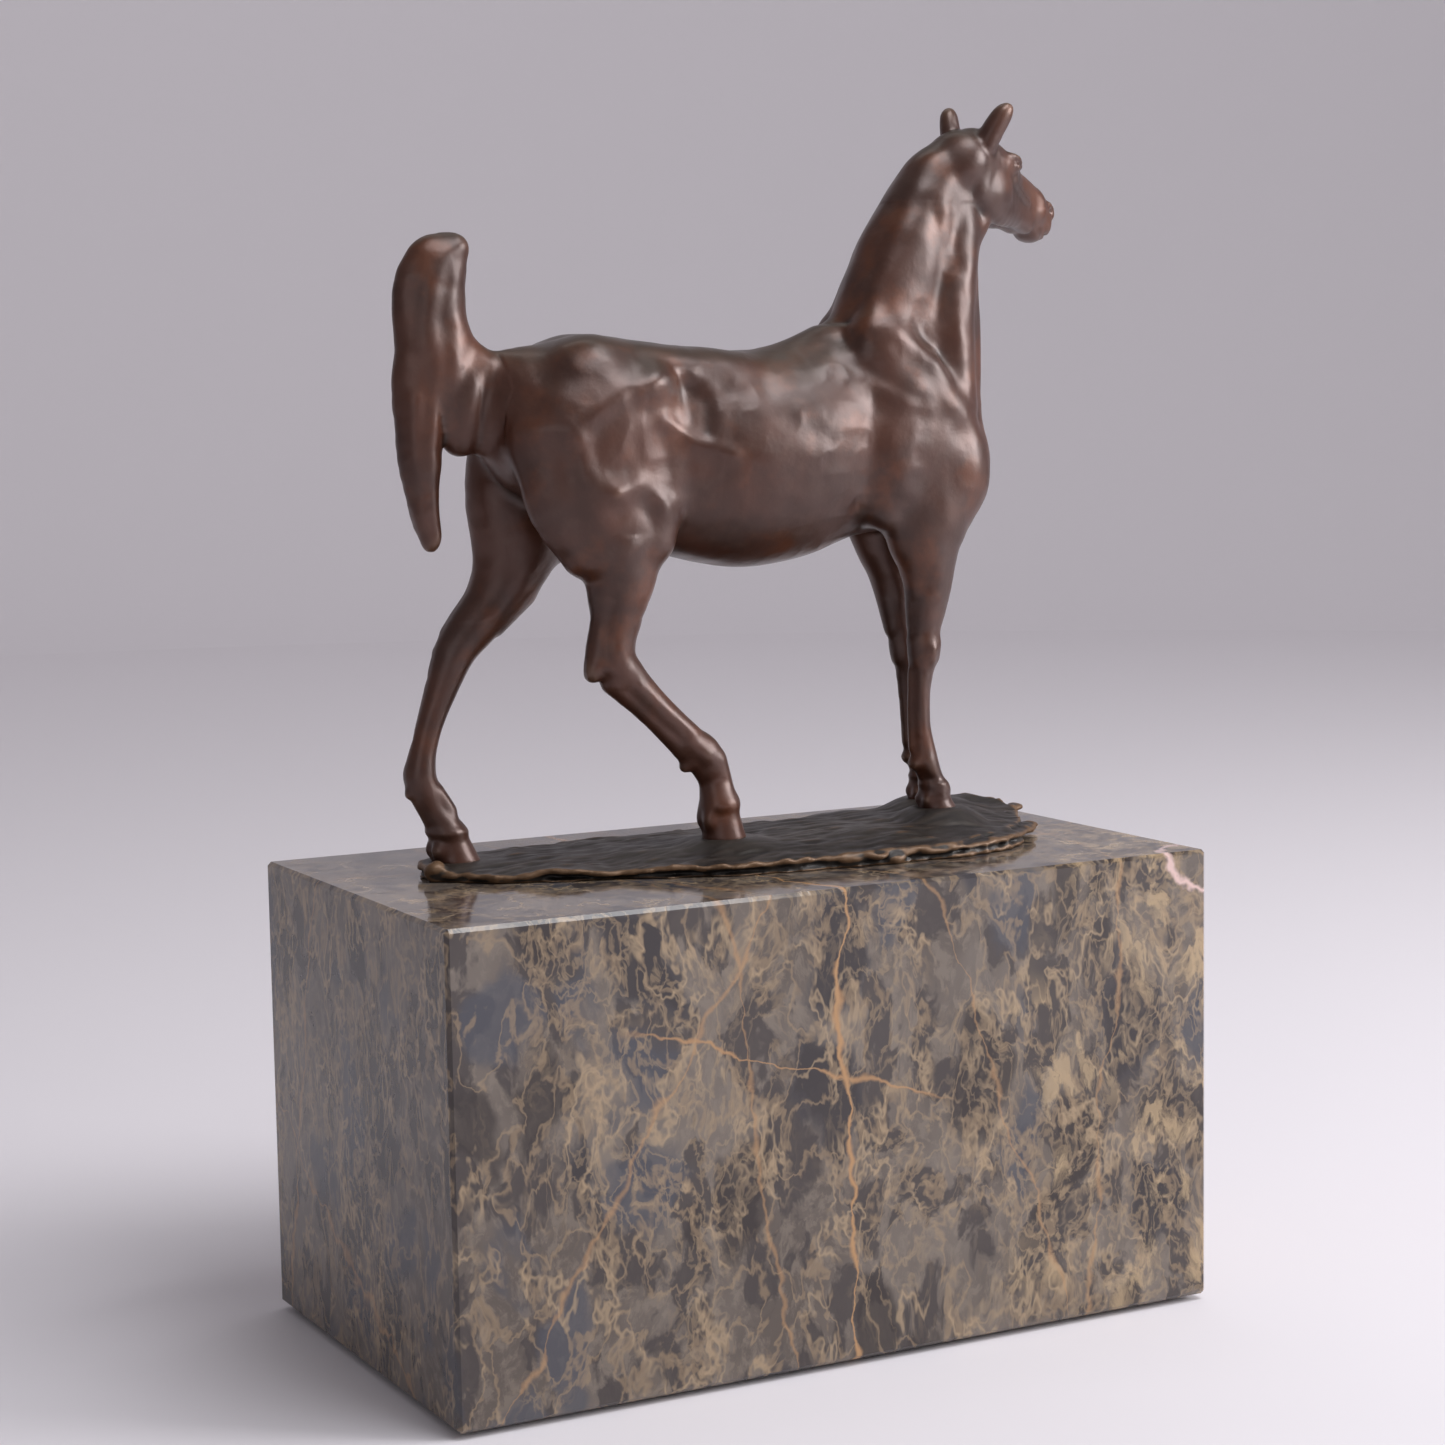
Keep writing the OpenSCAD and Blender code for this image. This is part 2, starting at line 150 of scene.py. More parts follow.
class Clay:
    """A grid of signed distances, in millimetres, that shapes blend into."""

    def __init__(self, low, high, cell):
        self.low = np.array(low, float)
        self.cell = cell
        count = np.ceil((np.array(high, float) - self.low) / cell).astype(int) + 1
        self.axes = [(self.low[i] + np.arange(count[i]) * cell).astype(np.float32)
                     for i in range(3)]
        self.field = np.full(count, FAR, np.float32)

    def window(self, low, high):
        cut = []
        for i in range(3):
            first = int(np.searchsorted(self.axes[i], low[i]))
            last = int(np.searchsorted(self.axes[i], high[i]))
            cut.append(slice(max(first, 0), max(last, first)))
        x = self.axes[0][cut[0]][:, None, None]
        y = self.axes[1][cut[1]][None, :, None]
        z = self.axes[2][cut[2]][None, None, :]
        return tuple(cut), x, y, z

    def shape(self, stations, margin, place, steps):
        """The box round a sweep, and the distance to it inside that box."""
        path = spline([s if len(s) == 6 else (*s, s[3], s[3]) for s in stations], steps)
        if len(path) == 1:
            path = np.repeat(path, 2, axis=0)
        reach = path[:, 3:].max(0) + margin
        if place is None:
            low, high = path[:, :3].min(0) - reach, path[:, :3].max(0) + reach
        else:
            spots = place.outward(path[:, :3])
            reach = np.full(3, reach.max())
            low, high = spots.min(0) - reach, spots.max(0) + reach
        cut = self.window(low, high)[0]
        near = np.full([s.stop - s.start for s in cut], FAR, np.float32)
        for a, b in zip(path[:-1], path[1:]):
            size = np.maximum(a[3:], b[3:]) + margin
            if place is None:
                lo = np.minimum(a[:3], b[:3]) - size
                hi = np.maximum(a[:3], b[:3]) + size
            else:
                spots = place.outward([a[:3], b[:3]])
                lo, hi = spots.min(0) - size.max(), spots.max(0) + size.max()
            part, px, py, pz = self.window(lo, hi)
            inner = tuple(slice(max(p.start - c.start, 0), max(p.stop - c.start, 0))
                          for p, c in zip(part, cut))
            if place is not None:
                px, py, pz = place.inward(px, py, pz)
            d = sweep_distance(px, py, pz, a, b)
            spot = near[inner]
            np.minimum(spot, d[:spot.shape[0], :spot.shape[1], :spot.shape[2]], out=spot)
        return cut, near

    def add(self, stations, blend=2.0, place=None, steps=3):
        cut, near = self.shape(stations, blend + 1.5, place, steps)
        self.field[cut] = smooth_min(self.field[cut], near, blend)

    def carve(self, stations, blend=1.0, place=None, steps=3):
        cut, near = self.shape(stations, blend + 1.5, place, steps)
        self.field[cut] = smooth_max(self.field[cut], -near, blend)

    def model(self, shapes, place=None, mirrored=False):
        """Adds several shapes, each given as its blend and its stations."""
        for blend, stations in shapes:
            for shape in both_sides(stations) if mirrored else [stations]:
                self.add(shape, blend, place)

    def skin(self):
        """Surface nets: one vertex in each crossed cell, one quad per crossed edge."""
        f = self.field
        size = np.array(f.shape)
        cell_size = size - 1
        ids, points, quads, flips = [], [], [], []
        for axis in range(3):
            lo = [slice(None)] * 3
            hi = [slice(None)] * 3
            lo[axis], hi[axis] = slice(None, -1), slice(1, None)
            a, b = f[tuple(lo)], f[tuple(hi)]
            where = np.argwhere((a < 0) != (b < 0))
            other = [i for i in range(3) if i != axis]
            keep = np.all([(where[:, i] > 0) & (where[:, i] < size[i] - 1)
                           for i in other], axis=0)
            where = where[keep]
            fa, fb = a[tuple(where.T)], b[tuple(where.T)]
            spot = where.astype(float)
            spot[:, axis] += fa / (fa - fb)
            around = []
            for d0, d1 in ((0, 0), (-1, 0), (-1, -1), (0, -1)):
                cell = where.copy()
                cell[:, other[0]] += d0
                cell[:, other[1]] += d1
                around.append((cell[:, 0] * cell_size[1] + cell[:, 1])
                              * cell_size[2] + cell[:, 2])
            around = np.stack(around, 1)
            ids.append(around.ravel())
            points.append(np.repeat(spot, 4, axis=0))
            quads.append(around)
            flips.append((fa < 0) == (axis != 1))
        ids = np.concatenate(ids)
        points = np.concatenate(points)
        slot = np.unique(ids, return_inverse=True)[1]
        count = np.bincount(slot)
        verts = np.stack([np.bincount(slot, points[:, i]) / count for i in range(3)], 1)
        quads = np.concatenate(quads)
        flips = np.concatenate(flips)
        quads = slot.reshape(-1, 4)[:len(quads)]
        quads[~flips] = quads[~flips][:, ::-1]
        return verts * self.cell + self.low, quads


def relax(verts, quads, rounds):
    """Evens a skin out, then pushes it back so that it doesn't shrink."""
    edges = np.concatenate([quads[:, [0, 1]], quads[:, [1, 2]],
                            quads[:, [2, 3]], quads[:, [3, 0]]])
    ends = np.concatenate([edges, edges[:, ::-1]])
    count = np.bincount(ends[:, 0], minlength=len(verts))[:, None]
    for i in range(rounds):
        for amount in (RELAX_SHARE, -RELAX_SHARE * 1.03):
            mean = np.stack([np.bincount(ends[:, 0], verts[ends[:, 1], k],
                                         minlength=len(verts)) for k in range(3)], 1)
            verts = verts + amount * (mean / np.maximum(count, 1) - verts)
    return verts


def vertex_normals(verts, quads):
    across = np.cross(verts[quads[:, 2]] - verts[quads[:, 0]],
                      verts[quads[:, 3]] - verts[quads[:, 1]])
    total = np.stack([np.bincount(quads.ravel(), np.repeat(across[:, k], 4),
                                  minlength=len(verts)) for k in range(3)], 1)
    return total / np.maximum(np.linalg.norm(total, axis=1, keepdims=True), 1e-9)


def noise(points, size, seed):
    """Smooth random values between -1 and 1 that change over the given size."""
    rng = np.random.default_rng(seed)
    table = rng.uniform(-1, 1, (32, 32, 32))
    p = points / size
    base = np.floor(p).astype(int)
    t = p - base
    t = t * t * (3 - 2 * t)
    value = 0
    for corner in np.ndindex(2, 2, 2):
        weight = np.prod([t[:, i] if corner[i] else 1 - t[:, i] for i in range(3)], axis=0)
        index = (base + corner) % 32
        value = value + weight * table[index[:, 0], index[:, 1], index[:, 2]]
    return value


# ------------------------------------------------------------ horse's shapes
# A station is (x, y, z, half length, half width, half height), and one with
# four numbers is a ball. Shapes of both sides are written for the left side.

def both_sides(stations):
    mirrored = [(s[0], -s[1], *s[2:]) for s in stations]
    return [stations, mirrored]


TRUNK = [(-52, 0, 106, 12, 15, 16.5), (-44, 0, 105, 12, 18, 20.5),
         (-36, 0, 104, 12, 18.8, 22.5), (-20, 0, 99.5, 13, 17.6, 24.5),
         (0, 0, 96.5, 13, 20, 26), (16, 0, 97.5, 13, 19, 25.8),
         (32, 0, 101.5, 12, 15.8, 25), (46, 0, 99, 12, 14, 21),
         (58, 0, 93.5, 10.5, 12, 14.5)]
NECK = [(50, 0, 104, 19, 12, 12), (50.8, 0, 116, 19, 11, 11),
        (52, 0, 128, 18, 9.6, 9), (53, 0, 139, 16.4, 8.6, 8),
        (55, 0.5, 149, 14, 8, 7), (59.5, 0.8, 158, 10.8, 7.4, 7),
        (65.5, 1, 165.5, 8, 6.8, 7)]
CREST = [(14, 0, 112, 6, 8, 10), (24, 0, 116, 6, 6.5, 10.5), (33, 0, 123.5, 5, 5.4, 9),
         (39, 0, 135.5, 4.6, 4.8, 8.4), (44.2, 0, 146.5, 4.4, 4.4, 6.6),
         (51, 0, 156.2, 4.6, 4.4, 5.8), (58.5, 0, 164.4, 5, 4.6, 5),
         (65, 0, 170.5, 5.4, 5, 4.8)]
THROAT = [(64, 0, 100, 6, 8, 8), (64.8, 0, 112, 5.2, 6.6, 8), (65.2, 0, 126, 5.2, 5.6, 8),
          (65.2, 0.2, 139, 5, 5, 7), (66.4, 0, 148, 5, 4.8, 5), (70.5, 0.4, 153.6, 4.4, 4.6, 3.6)]

# Muscles of the trunk and neck: blend, then stations on the left side.
MUSCLES = [
    # shoulder blade, its front border, and the point of the shoulder
    (6.0, [(57, 10, 94, 7, 4.6, 8), (48, 11.4, 107, 7, 4.2, 8), (38, 10, 120, 6, 4, 7)]),
    (4.0, [(62, 8.8, 99, 3.4, 3.6, 4), (55, 11.2, 109.5, 3.2, 3.4, 4),
           (45.6, 10.8, 120, 3.2, 3.4, 3.6), (35, 8.8, 125, 3.2, 3, 3.2)]),
    (5.0, [(59.4, 9.4, 90, 7.2, 5.2, 8.5), (53.6, 10, 80, 6.6, 5, 7)]),
    # the back of the upper arm, down to the elbow
    (5.0, [(41, 12, 106, 6.5, 4, 8), (39.5, 12.6, 94, 7.5, 4.8, 8), (37.5, 11, 83, 4.6, 4, 4.6)]),
    # breast
    (4.0, [(64, 5.4, 95, 5.4, 5.2, 7.5), (61, 6, 85, 5, 5.2, 6), (55, 6.4, 77, 5, 4.6, 4.6)]),
    # the long muscle from the jaw to the shoulder's point
    (4.0, [(65, 2.6, 157, 3, 2.6, 4), (64.4, 4.2, 149, 3, 3, 5),
           (61.5, 6.4, 137, 4, 3.2, 6), (60, 7.8, 124, 4.4, 3.4, 6),
           (59.6, 9, 110, 4.6, 3.4, 6)]),
    # the flat muscles of the neck's side
    (6.0, [(57, 2.2, 163, 4, 2.4, 5), (51, 5.0, 151, 5.4, 3, 6),
           (45, 6.6, 139, 6.4, 3.4, 7), (39, 8, 127, 6, 3.6, 6)]),
    # loin, hip point and croup
    (5.0, [(-8, 7, 117, 10, 6, 4.6), (-24, 8, 118.5, 9, 6.5, 4.8)]),
    (4.0, [(-27.5, 14.6, 113.6, 4.2, 3.4, 4)]),
    (5.0, [(-28, 13.6, 110.6, 6, 4.4, 7), (-38, 14.2, 109, 8, 5, 8), (-48, 12.4, 107, 7, 5, 8)]),
    (5.0, [(-40, 8.5, 117.5, 10, 7.5, 8)]),
]
STROKE_DEPTH = 0.55       # how strongly the strokes below are pressed in
STROKE_SPREAD = 1.3
# Strokes of the modelling tool on the horse's sides, seen from the side: how far
# a stroke raises the clay (or presses it in), its half width, and its path (x, z).
SIDE_STROKES = [
    # the shelf over the hip, and the hollow beneath it
    (1.1, 2.3, [(-60, 105), (-53, 104.6), (-48.5, 102.5)]),
    (1.2, 2.3, [(-49, 105.5), (-44, 108), (-40, 111), (-35, 113.5), (-30, 114)]),
    (-0.9, 2.8, [(-46, 102.5), (-41, 106.5), (-36, 108.5), (-32, 109)]),
    (-0.5, 3.4, [(-52, 109), (-46, 112), (-40, 116), (-34, 118)]),
    # thigh and stifle
    (0.9, 2.1, [(-48, 101), (-47, 96), (-44, 92.5), (-41, 90)]),
    (-0.8, 2.8, [(-44, 99), (-42, 95), (-37, 94)]),
    (1.4, 2.3, [(-39, 90), (-34, 91.5), (-30, 89.5), (-26.5, 86)]),
    (-0.7, 2.8, [(-38, 86), (-33, 87), (-29, 83)]),
    (0.5, 2.5, [(-33, 92), (-31, 98), (-29.5, 105)]),
    (-1.1, 2.8, [(-27, 103), (-26, 97), (-24, 90), (-23, 84)]),
    (-0.9, 2.3, [(-50.5, 99), (-51, 92), (-49, 84), (-46, 77)]),
    # flank
    (-1.5, 4.2, [(-24, 110.5), (-18, 109.5)]),
    (1.1, 1.7, [(-26, 106), (-21, 103.5), (-18, 101), (-13, 99.6), (-9, 98)]),
    (0.6, 1.8, [(-11.5, 103), (-11, 110), (-14, 115), (-21, 117), (-27, 116)]),
    (-0.9, 1.5, [(-14.5, 103.5), (-13.6, 110)]),
    (0.5, 1.2, [(-22, 112), (-20, 107)]),
    (-0.7, 2.6, [(-24, 97), (-17, 96.5), (-11, 94)]),
    # barrel
    (0.7, 5.0, [(-5, 98), (3, 98), (11, 100)]),
    (-0.4, 2.4, [(4, 113), (7, 105), (13, 103)]),
    (-0.3, 3.0, [(-8, 90), (0, 89), (10, 91)]),
    # shoulder blade
    (-0.6, 2.4, [(18, 120.8), (26, 124), (33, 125), (38, 122.8), (42, 119.4), (50, 115.4),
                 (56, 112.4), (61, 109)]),
    (0.6, 2.5, [(20, 119), (27, 121.3), (33, 122.6), (37, 120.8), (41, 117.3), (47, 113),
                (53, 109.5), (58, 106.5)]),
    (-0.5, 1.8, [(25, 119), (32, 117.4), (38, 112.8), (44, 109.8)]),
    (0.4, 1.8, [(26, 115.6), (33, 113.5), (39, 110.5), (47, 107.6)]),
    (-0.5, 2.9, [(32, 107.2), (40, 107), (48, 105.6), (54, 101.6)]),
    (0.4, 4.6, [(21, 109), (28, 106)]),
    (-0.4, 3.0, [(28, 103), (33, 98), (34.5, 92)]),
    (0.6, 7.0, [(41, 99), (48, 96.5), (55, 93)]),
    (0.4, 3.0, [(36, 97), (39, 91), (43, 86.5)]),
    (-0.5, 2.5, [(31.5, 92), (35, 87.6), (40, 83)]),
    (0.4, 2.2, [(27, 88), (33, 84.4), (37, 80.5)]),
    (-0.4, 2.3, [(28, 83.5), (34, 79.4)]),
    (-0.3, 3.4, [(47, 86), (50, 82), (55, 80)]),
    (0.3, 5.4, [(60, 98), (61, 91), (58, 85)]),
    # neck
    (-0.5, 2.5, [(28, 133), (31, 139), (34.6, 145), (38, 150), (43, 157)]),
    (0.3, 1.5, [(31, 144), (35, 149.4), (39.5, 155)]),
    (0.4, 2.5, [(25, 127), (30, 132), (35, 137.5), (38.5, 141), (41.5, 147), (44, 152)]),
    (0.4, 3.0, [(43, 141), (45.6, 147), (48, 153)]),
    (-0.4, 4.8, [(45, 136.5), (48, 130.5), (46, 124.5)]),
    (0.3, 2.7, [(28, 126.8), (35, 128), (39, 126.4)]),
    (0.5, 2.4, [(57.5, 128), (53, 125.6), (49.6, 121.6), (51.6, 118.4)]),
    (-0.4, 2.1, [(55.6, 122), (53.4, 119.6), (57, 116.4)]),
    (-0.5, 2.1, [(54.6, 157), (55, 150), (55.4, 142), (54.8, 134), (56, 129.6)]),
    (0.4, 2.0, [(56.5, 158), (57.5, 150), (58.2, 142), (58.5, 133), (59.5, 124), (60, 115)]),
    (-0.3, 1.7, [(60.5, 150), (61, 140), (61.5, 128), (62, 117)]),
    (0.4, 2.2, [(51, 160.6), (55.6, 160), (57, 156)]),
    (-0.4, 2.7, [(50.6, 156.6), (52.6, 154)]),
    (0.4, 2.4, [(59, 163), (63.6, 166)]),
]
# The same on one leg at a time.
LEG_STROKES = {
    "leg_hind_right": [
        (0.6, 2.4, [(-36, 77), (-36, 66)]), (0.8, 1.8, [(-43.6, 49), (-41, 49.6)]),
        (0.8, 2.0, [(-37.4, 52.6), (-35.6, 48.6)]),
        (-0.8, 1.2, [(-40.4, 51), (-40.2, 58), (-39, 65)]),
        (-0.5, 1.0, [(-35, 43.6), (-27.4, 36.6), (-20.6, 31)]),
        (0.5, 1.2, [(-31.6, 44.4), (-24, 38), (-17, 32.8)]),
        (0.7, 1.6, [(-18.4, 30.6), (-14.4, 27)]), (-0.6, 1.2, [(-19, 26.4), (-15, 24)]),
        (-0.5, 1.3, [(-13.6, 20.4), (-7, 20.6)]), (0.6, 1.6, [(-12, 15.8), (-7.6, 15.4)])],
    "leg_front_right": [
        (0.6, 1.4, [(47.6, 62), (47.4, 56)]), (-0.6, 1.1, [(45, 60), (45, 53)]),
        (0.7, 1.0, [(50, 48.6), (49.8, 46)]), (0.5, 1.5, [(46.6, 50), (46.8, 46)]),
        (-0.6, 0.8, [(45.1, 43), (45, 33), (45.4, 24)]), (0.5, 1.0, [(47.2, 42), (47.2, 28)]),
        (0.6, 1.4, [(48.6, 20.6), (50.4, 18)]), (-0.5, 0.9, [(47.4, 17.4), (50, 15.4)])],
    "leg_hind_left": [
        (0.8, 1.2, [(-61, 70), (-66, 63), (-70, 58)]), (-0.9, 1.3, [(-64, 57), (-60, 64), (-57, 71)]),
        (0.7, 1.6, [(-58, 60), (-54, 67)]), (0.7, 1.4, [(-73.6, 53), (-74.4, 49)]),
        (0.5, 1.2, [(-75, 45), (-77, 35)]), (-0.5, 0.9, [(-77, 44), (-79, 33)]),
        (0.7, 1.4, [(-79.4, 25), (-78.6, 22)]), (-0.5, 1.1, [(-77, 18), (-73.4, 17)]),
        (0.6, 1.5, [(-74, 10.6), (-70.6, 10.6)])],
    "leg_front_left": [
        (0.6, 1.4, [(54, 61), (55, 54)]), (-0.6, 1.1, [(50.6, 58), (51.4, 51)]),
        (-0.6, 0.8, [(53.8, 41), (54.6, 32), (55.4, 24)]), (0.5, 1.2, [(57.6, 50), (57.9, 46)]),
        (0.6, 1.4, [(57.6, 20), (59, 17.6)])],
}
TAIL_STROKES = [
    (0.5, 2.1, [(-69, 147), (-74, 144.4), (-77, 139), (-78.8, 130), (-80, 121)]),
    (-0.6, 1.7, [(-72, 148.5), (-78, 145), (-81, 139), (-82, 128), (-82.5, 116)]),
    (-0.5, 1.8, [(-72, 143), (-74.6, 136), (-75.6, 127), (-76, 118), (-75, 108)]),
    (0.4, 1.7, [(-71, 141), (-71.6, 133), (-71.6, 125), (-72.4, 117)]),
    (0.5, 1.8, [(-76.6, 124), (-77, 114), (-78, 104), (-79, 96)]),
    (-0.5, 1.4, [(-79.6, 121), (-80, 110), (-80.6, 100), (-80, 90), (-78.6, 83)]),
    (0.4, 1.5, [(-82.6, 112), (-83, 102), (-82.2, 91), (-81, 83)]),
    (-0.4, 1.4, [(-84.6, 118), (-84.8, 106), (-83.6, 96), (-82.6, 89)]),
    (0.3, 1.3, [(-76.8, 96), (-76.8, 88), (-76.6, 80)]),
    (0.5, 1.7, [(-63.6, 120), (-68, 114), (-69.6, 107)]),
    (-0.5, 1.7, [(-66.6, 124), (-71, 116), (-73, 106), (-74, 100)]),
    (0.4, 1.8, [(-60, 117), (-61.6, 112), (-65, 106)]),
    (-0.4, 2.0, [(-60, 121), (-64.6, 114), (-67, 106.6), (-67.6, 102)]),
    (-0.3, 2.5, [(-56, 120), (-57.6, 114), (-60.6, 108), (-62, 102)]),
]

LEG_FRONT_RIGHT = [
    (49.5, -8.5, 98, 10, 7, 12), (48.3, -9.2, 84, 10.5, 6.8, 8), (49, -9.5, 75.5, 9.4, 6.2, 7),
    (50.2, -9.4, 67, 6.2, 5.2, 6), (49.9, -9.3, 60.5, 4.7, 4.3, 5), (49.2, -9.2, 53.5, 3.7, 3.5, 4),
    (49.3, -9.2, 48.3, 3.9, 3.6, 3.6), (48.4, -9.2, 43, 3, 2.9, 3), (47.8, -9.1, 37, 2.6, 2.5, 4),
    (48, -9, 29, 2.6, 2.5, 4), (49.2, -8.9, 21.4, 3.3, 3, 3.2), (50.9, -8.8, 16.6, 3, 3, 3),
    (52.3, -8.7, 13.2, 3.9, 3.7, 2.2)]
LEG_FRONT_LEFT = [
    (49.5, 8.5, 98, 10, 7, 12), (48.8, 9, 83, 10.5, 6.8, 8), (50, 9, 75, 9.4, 6.2, 7),
    (52, 9, 66, 6.2, 5.2, 6), (53.2, 9, 58, 4.5, 4.2, 5), (54.4, 9, 50.5, 3.7, 3.5, 4),
    (55, 9, 46.8, 3.9, 3.6, 3.6), (55.7, 9, 41.5, 3, 2.9, 3), (56.3, 9, 36, 2.6, 2.5, 4),
    (57.2, 9, 28, 2.6, 2.5, 4), (58.2, 9, 20.4, 3.3, 3, 3.2), (59.3, 9, 16, 3, 3, 3),
    (60.2, 9, 12.8, 3.9, 3.7, 2.2)]
LEG_HIND_RIGHT = [
    (-39, -10, 101, 14, 8, 13), (-38, -11, 88, 14, 8, 9), (-35.5, -11.4, 77, 11.4, 7.2, 7),
    (-35, -11.5, 68.5, 8.2, 6.1, 6), (-36.3, -11.3, 60, 5.9, 4.8, 5), (-37.4, -11, 52, 5.8, 4.2, 5),
    (-34, -11, 46.6, 5.2, 3.8, 4.6), (-28.5, -10.8, 41, 4.2, 3.3, 4.2),
    (-22, -10.6, 34.8, 3.9, 3.1, 4), (-17, -10.3, 30, 4.1, 3.4, 4.2),
    (-13.4, -10.2, 26.6, 4.8, 3.8, 4.5), (-10.8, -10, 20.8, 3.7, 3.4, 3.5),
    (-9.2, -10, 15.5, 4.9, 4.2, 3)]
LEG_HIND_LEFT = [
    (-41, 10, 101, 14, 8, 13), (-46.5, 10, 92, 15, 8, 10), (-50, 10.6, 82.5, 12, 7.8, 8.4),
    (-51.8, 11, 74, 10, 7, 7), (-56.6, 11, 65.4, 7.6, 5.9, 6), (-62.6, 11, 59, 6, 4.9, 5.5),
    (-67.2, 11, 53.6, 5, 4.3, 5), (-70.6, 11, 46, 3.8, 3.5, 4.5), (-73.6, 11, 38.5, 3, 2.9, 4),
    (-76, 11, 31, 2.9, 2.8, 4), (-77.3, 11, 24.6, 3.8, 3.5, 4), (-76.4, 11, 20.6, 4, 3.6, 3.6),
    (-74.4, 11, 16, 3.5, 3.3, 3.4), (-71, 11, 11, 4.6, 4.2, 3)]

# Bones, tendons and muscles of each leg: blend, then stations.
LEG_SHAPES = {
    "leg_front_right": [
        (1.5, [(45.8, -9.6, 76, 3, 3.4, 5), (46.3, -9.6, 66, 2.6, 3, 5),
               (46.6, -9.4, 56, 2, 2.4, 5)]),
        (1.2, [(54, -9.6, 71, 4, 3.8, 6), (53, -9.5, 62, 2.8, 3, 5), (51.6, -9.4, 54.5, 2, 2.4, 4)]),
        (0.8, [(46.2, -9.2, 50.6, 1.5, 2, 2.2), (46.4, -9.2, 46.5, 1.3, 1.8, 2)]),
        (0.8, [(51.8, -9.2, 50, 1.6, 2.6, 2.6), (51.5, -9.2, 46.4, 1.3, 2.4, 1.8)]),
        (0.6, [(45.8, -9.1, 42, 1.1, 1.3, 3), (45.6, -9, 34, 1.1, 1.3, 4),
               (46, -8.9, 25, 1.2, 1.4, 3)]),
        (0.9, [(46.5, -8.9, 20.2, 1.7, 2.2, 1.8)]),
        (0.7, [(51.7, -8.8, 14.8, 3.9, 3.9, 0.9)])],
    "leg_front_left": [
        (1.5, [(47.5, 9, 75, 3, 3.4, 5), (48.6, 9, 65, 2.6, 3, 5), (50.6, 9, 55, 2, 2.4, 5)]),
        (1.2, [(55.4, 9, 70, 4, 3.8, 6), (56, 9, 60, 2.8, 3, 5), (56.6, 9, 53, 2, 2.4, 4)]),
        (0.8, [(51.9, 9, 49, 1.5, 2, 2.2), (52.4, 9, 45, 1.3, 1.8, 2)]),
        (0.8, [(57.5, 9, 48.6, 1.6, 2.6, 2.6), (57.7, 9, 45, 1.3, 2.4, 1.8)]),
        (0.6, [(53.4, 9, 41, 1.1, 1.3, 3), (54.3, 9, 33, 1.1, 1.3, 4), (55, 9, 24, 1.2, 1.4, 3)]),
        (0.9, [(55.5, 9, 19.4, 1.7, 2.2, 1.8)]),
        (0.7, [(59.7, 9, 14.4, 3.9, 3.9, 0.9)])],
    "leg_hind_right": [
        (5.0, [(-45, -13.6, 104, 9, 4.6, 9), (-43, -15, 92, 9.5, 4.4, 9),
               (-38.5, -14, 80, 7.5, 4, 6)]),
        (4.0, [(-27.5, -12.2, 100, 6.4, 5, 11), (-25.6, -13.4, 88, 5.6, 4.8, 7),
               (-26.6, -12.8, 79, 5, 4.6, 5)]),
        (4.0, [(-55, -10.2, 100, 6, 5, 9), (-52, -11.6, 88, 6, 5, 8),
               (-45.5, -11.6, 77, 4.6, 4.4, 6)]),
        (1.2, [(-39.6, -11.4, 68, 3.6, 4, 5), (-40.4, -11.2, 60, 2.1, 2.2, 5),
               (-42, -11, 50.4, 2.3, 2.3, 2.4), (-42.2, -11, 47.8, 2.2, 2.3, 2)]),
        (1.2, [(-31.6, -12, 70, 4.4, 4.2, 6), (-33, -11.6, 61, 2.8, 3.2, 5)]),
        (1.0, [(-36.6, -11, 45.4, 3.6, 3.2, 3), (-28, -10.8, 37.6, 1.9, 2.2, 3),
               (-20.6, -10.5, 30, 1.9, 2.2, 3), (-16.6, -10.3, 25.4, 2.3, 2.6, 2.2)]),
        (1.8, [(-10, -10, 25.4, 2.2, 3, 2.2), (-8.2, -10, 20.4, 2, 2.6, 3)]),
        (1.2, [(-9.2, -10, 14, 4.9, 4.3, 1.2)])],
    "leg_hind_left": [
        (5.0, [(-50, 13.2, 103, 8, 4.6, 9), (-51.5, 14.2, 92, 9, 4.2, 8),
               (-50, 13.6, 81, 7.5, 3.8, 6)]),
        (4.0, [(-32, 12.2, 99, 6.8, 5, 11), (-35, 13, 86, 7, 4.8, 7), (-41, 12.6, 78, 5.6, 4.4, 5)]),
        (4.0, [(-56.4, 10.4, 99, 6, 5, 8), (-58, 10.8, 88, 4.6, 4.8, 7),
               (-56.6, 10.8, 77, 3.6, 4, 6)]),
        (1.2, [(-58, 11, 70, 3, 3.6, 5), (-63.6, 11, 61.4, 2, 2.2, 4.5),
               (-69.2, 11, 55, 2.1, 2.3, 2.2), (-70.6, 11, 53, 1.9, 2.2, 2)]),
        (1.2, [(-50, 11.6, 68, 4.2, 4, 6), (-57, 11.4, 60, 2.8, 3.2, 4)]),
        (1.0, [(-71.4, 11, 49, 1.9, 2.4, 3), (-74.6, 11, 40, 1.6, 2, 3),
               (-77.4, 11, 31, 1.6, 2, 3), (-79.2, 11, 24, 1.8, 2.4, 2.2)]),
        (0.9, [(-73.4, 11, 20, 1.9, 2.8, 2.4), (-70.4, 11, 15, 2, 2.8, 2.6)]),
        (0.8, [(-71, 11, 10.6, 5.1, 4.5, 1.4)])],
}
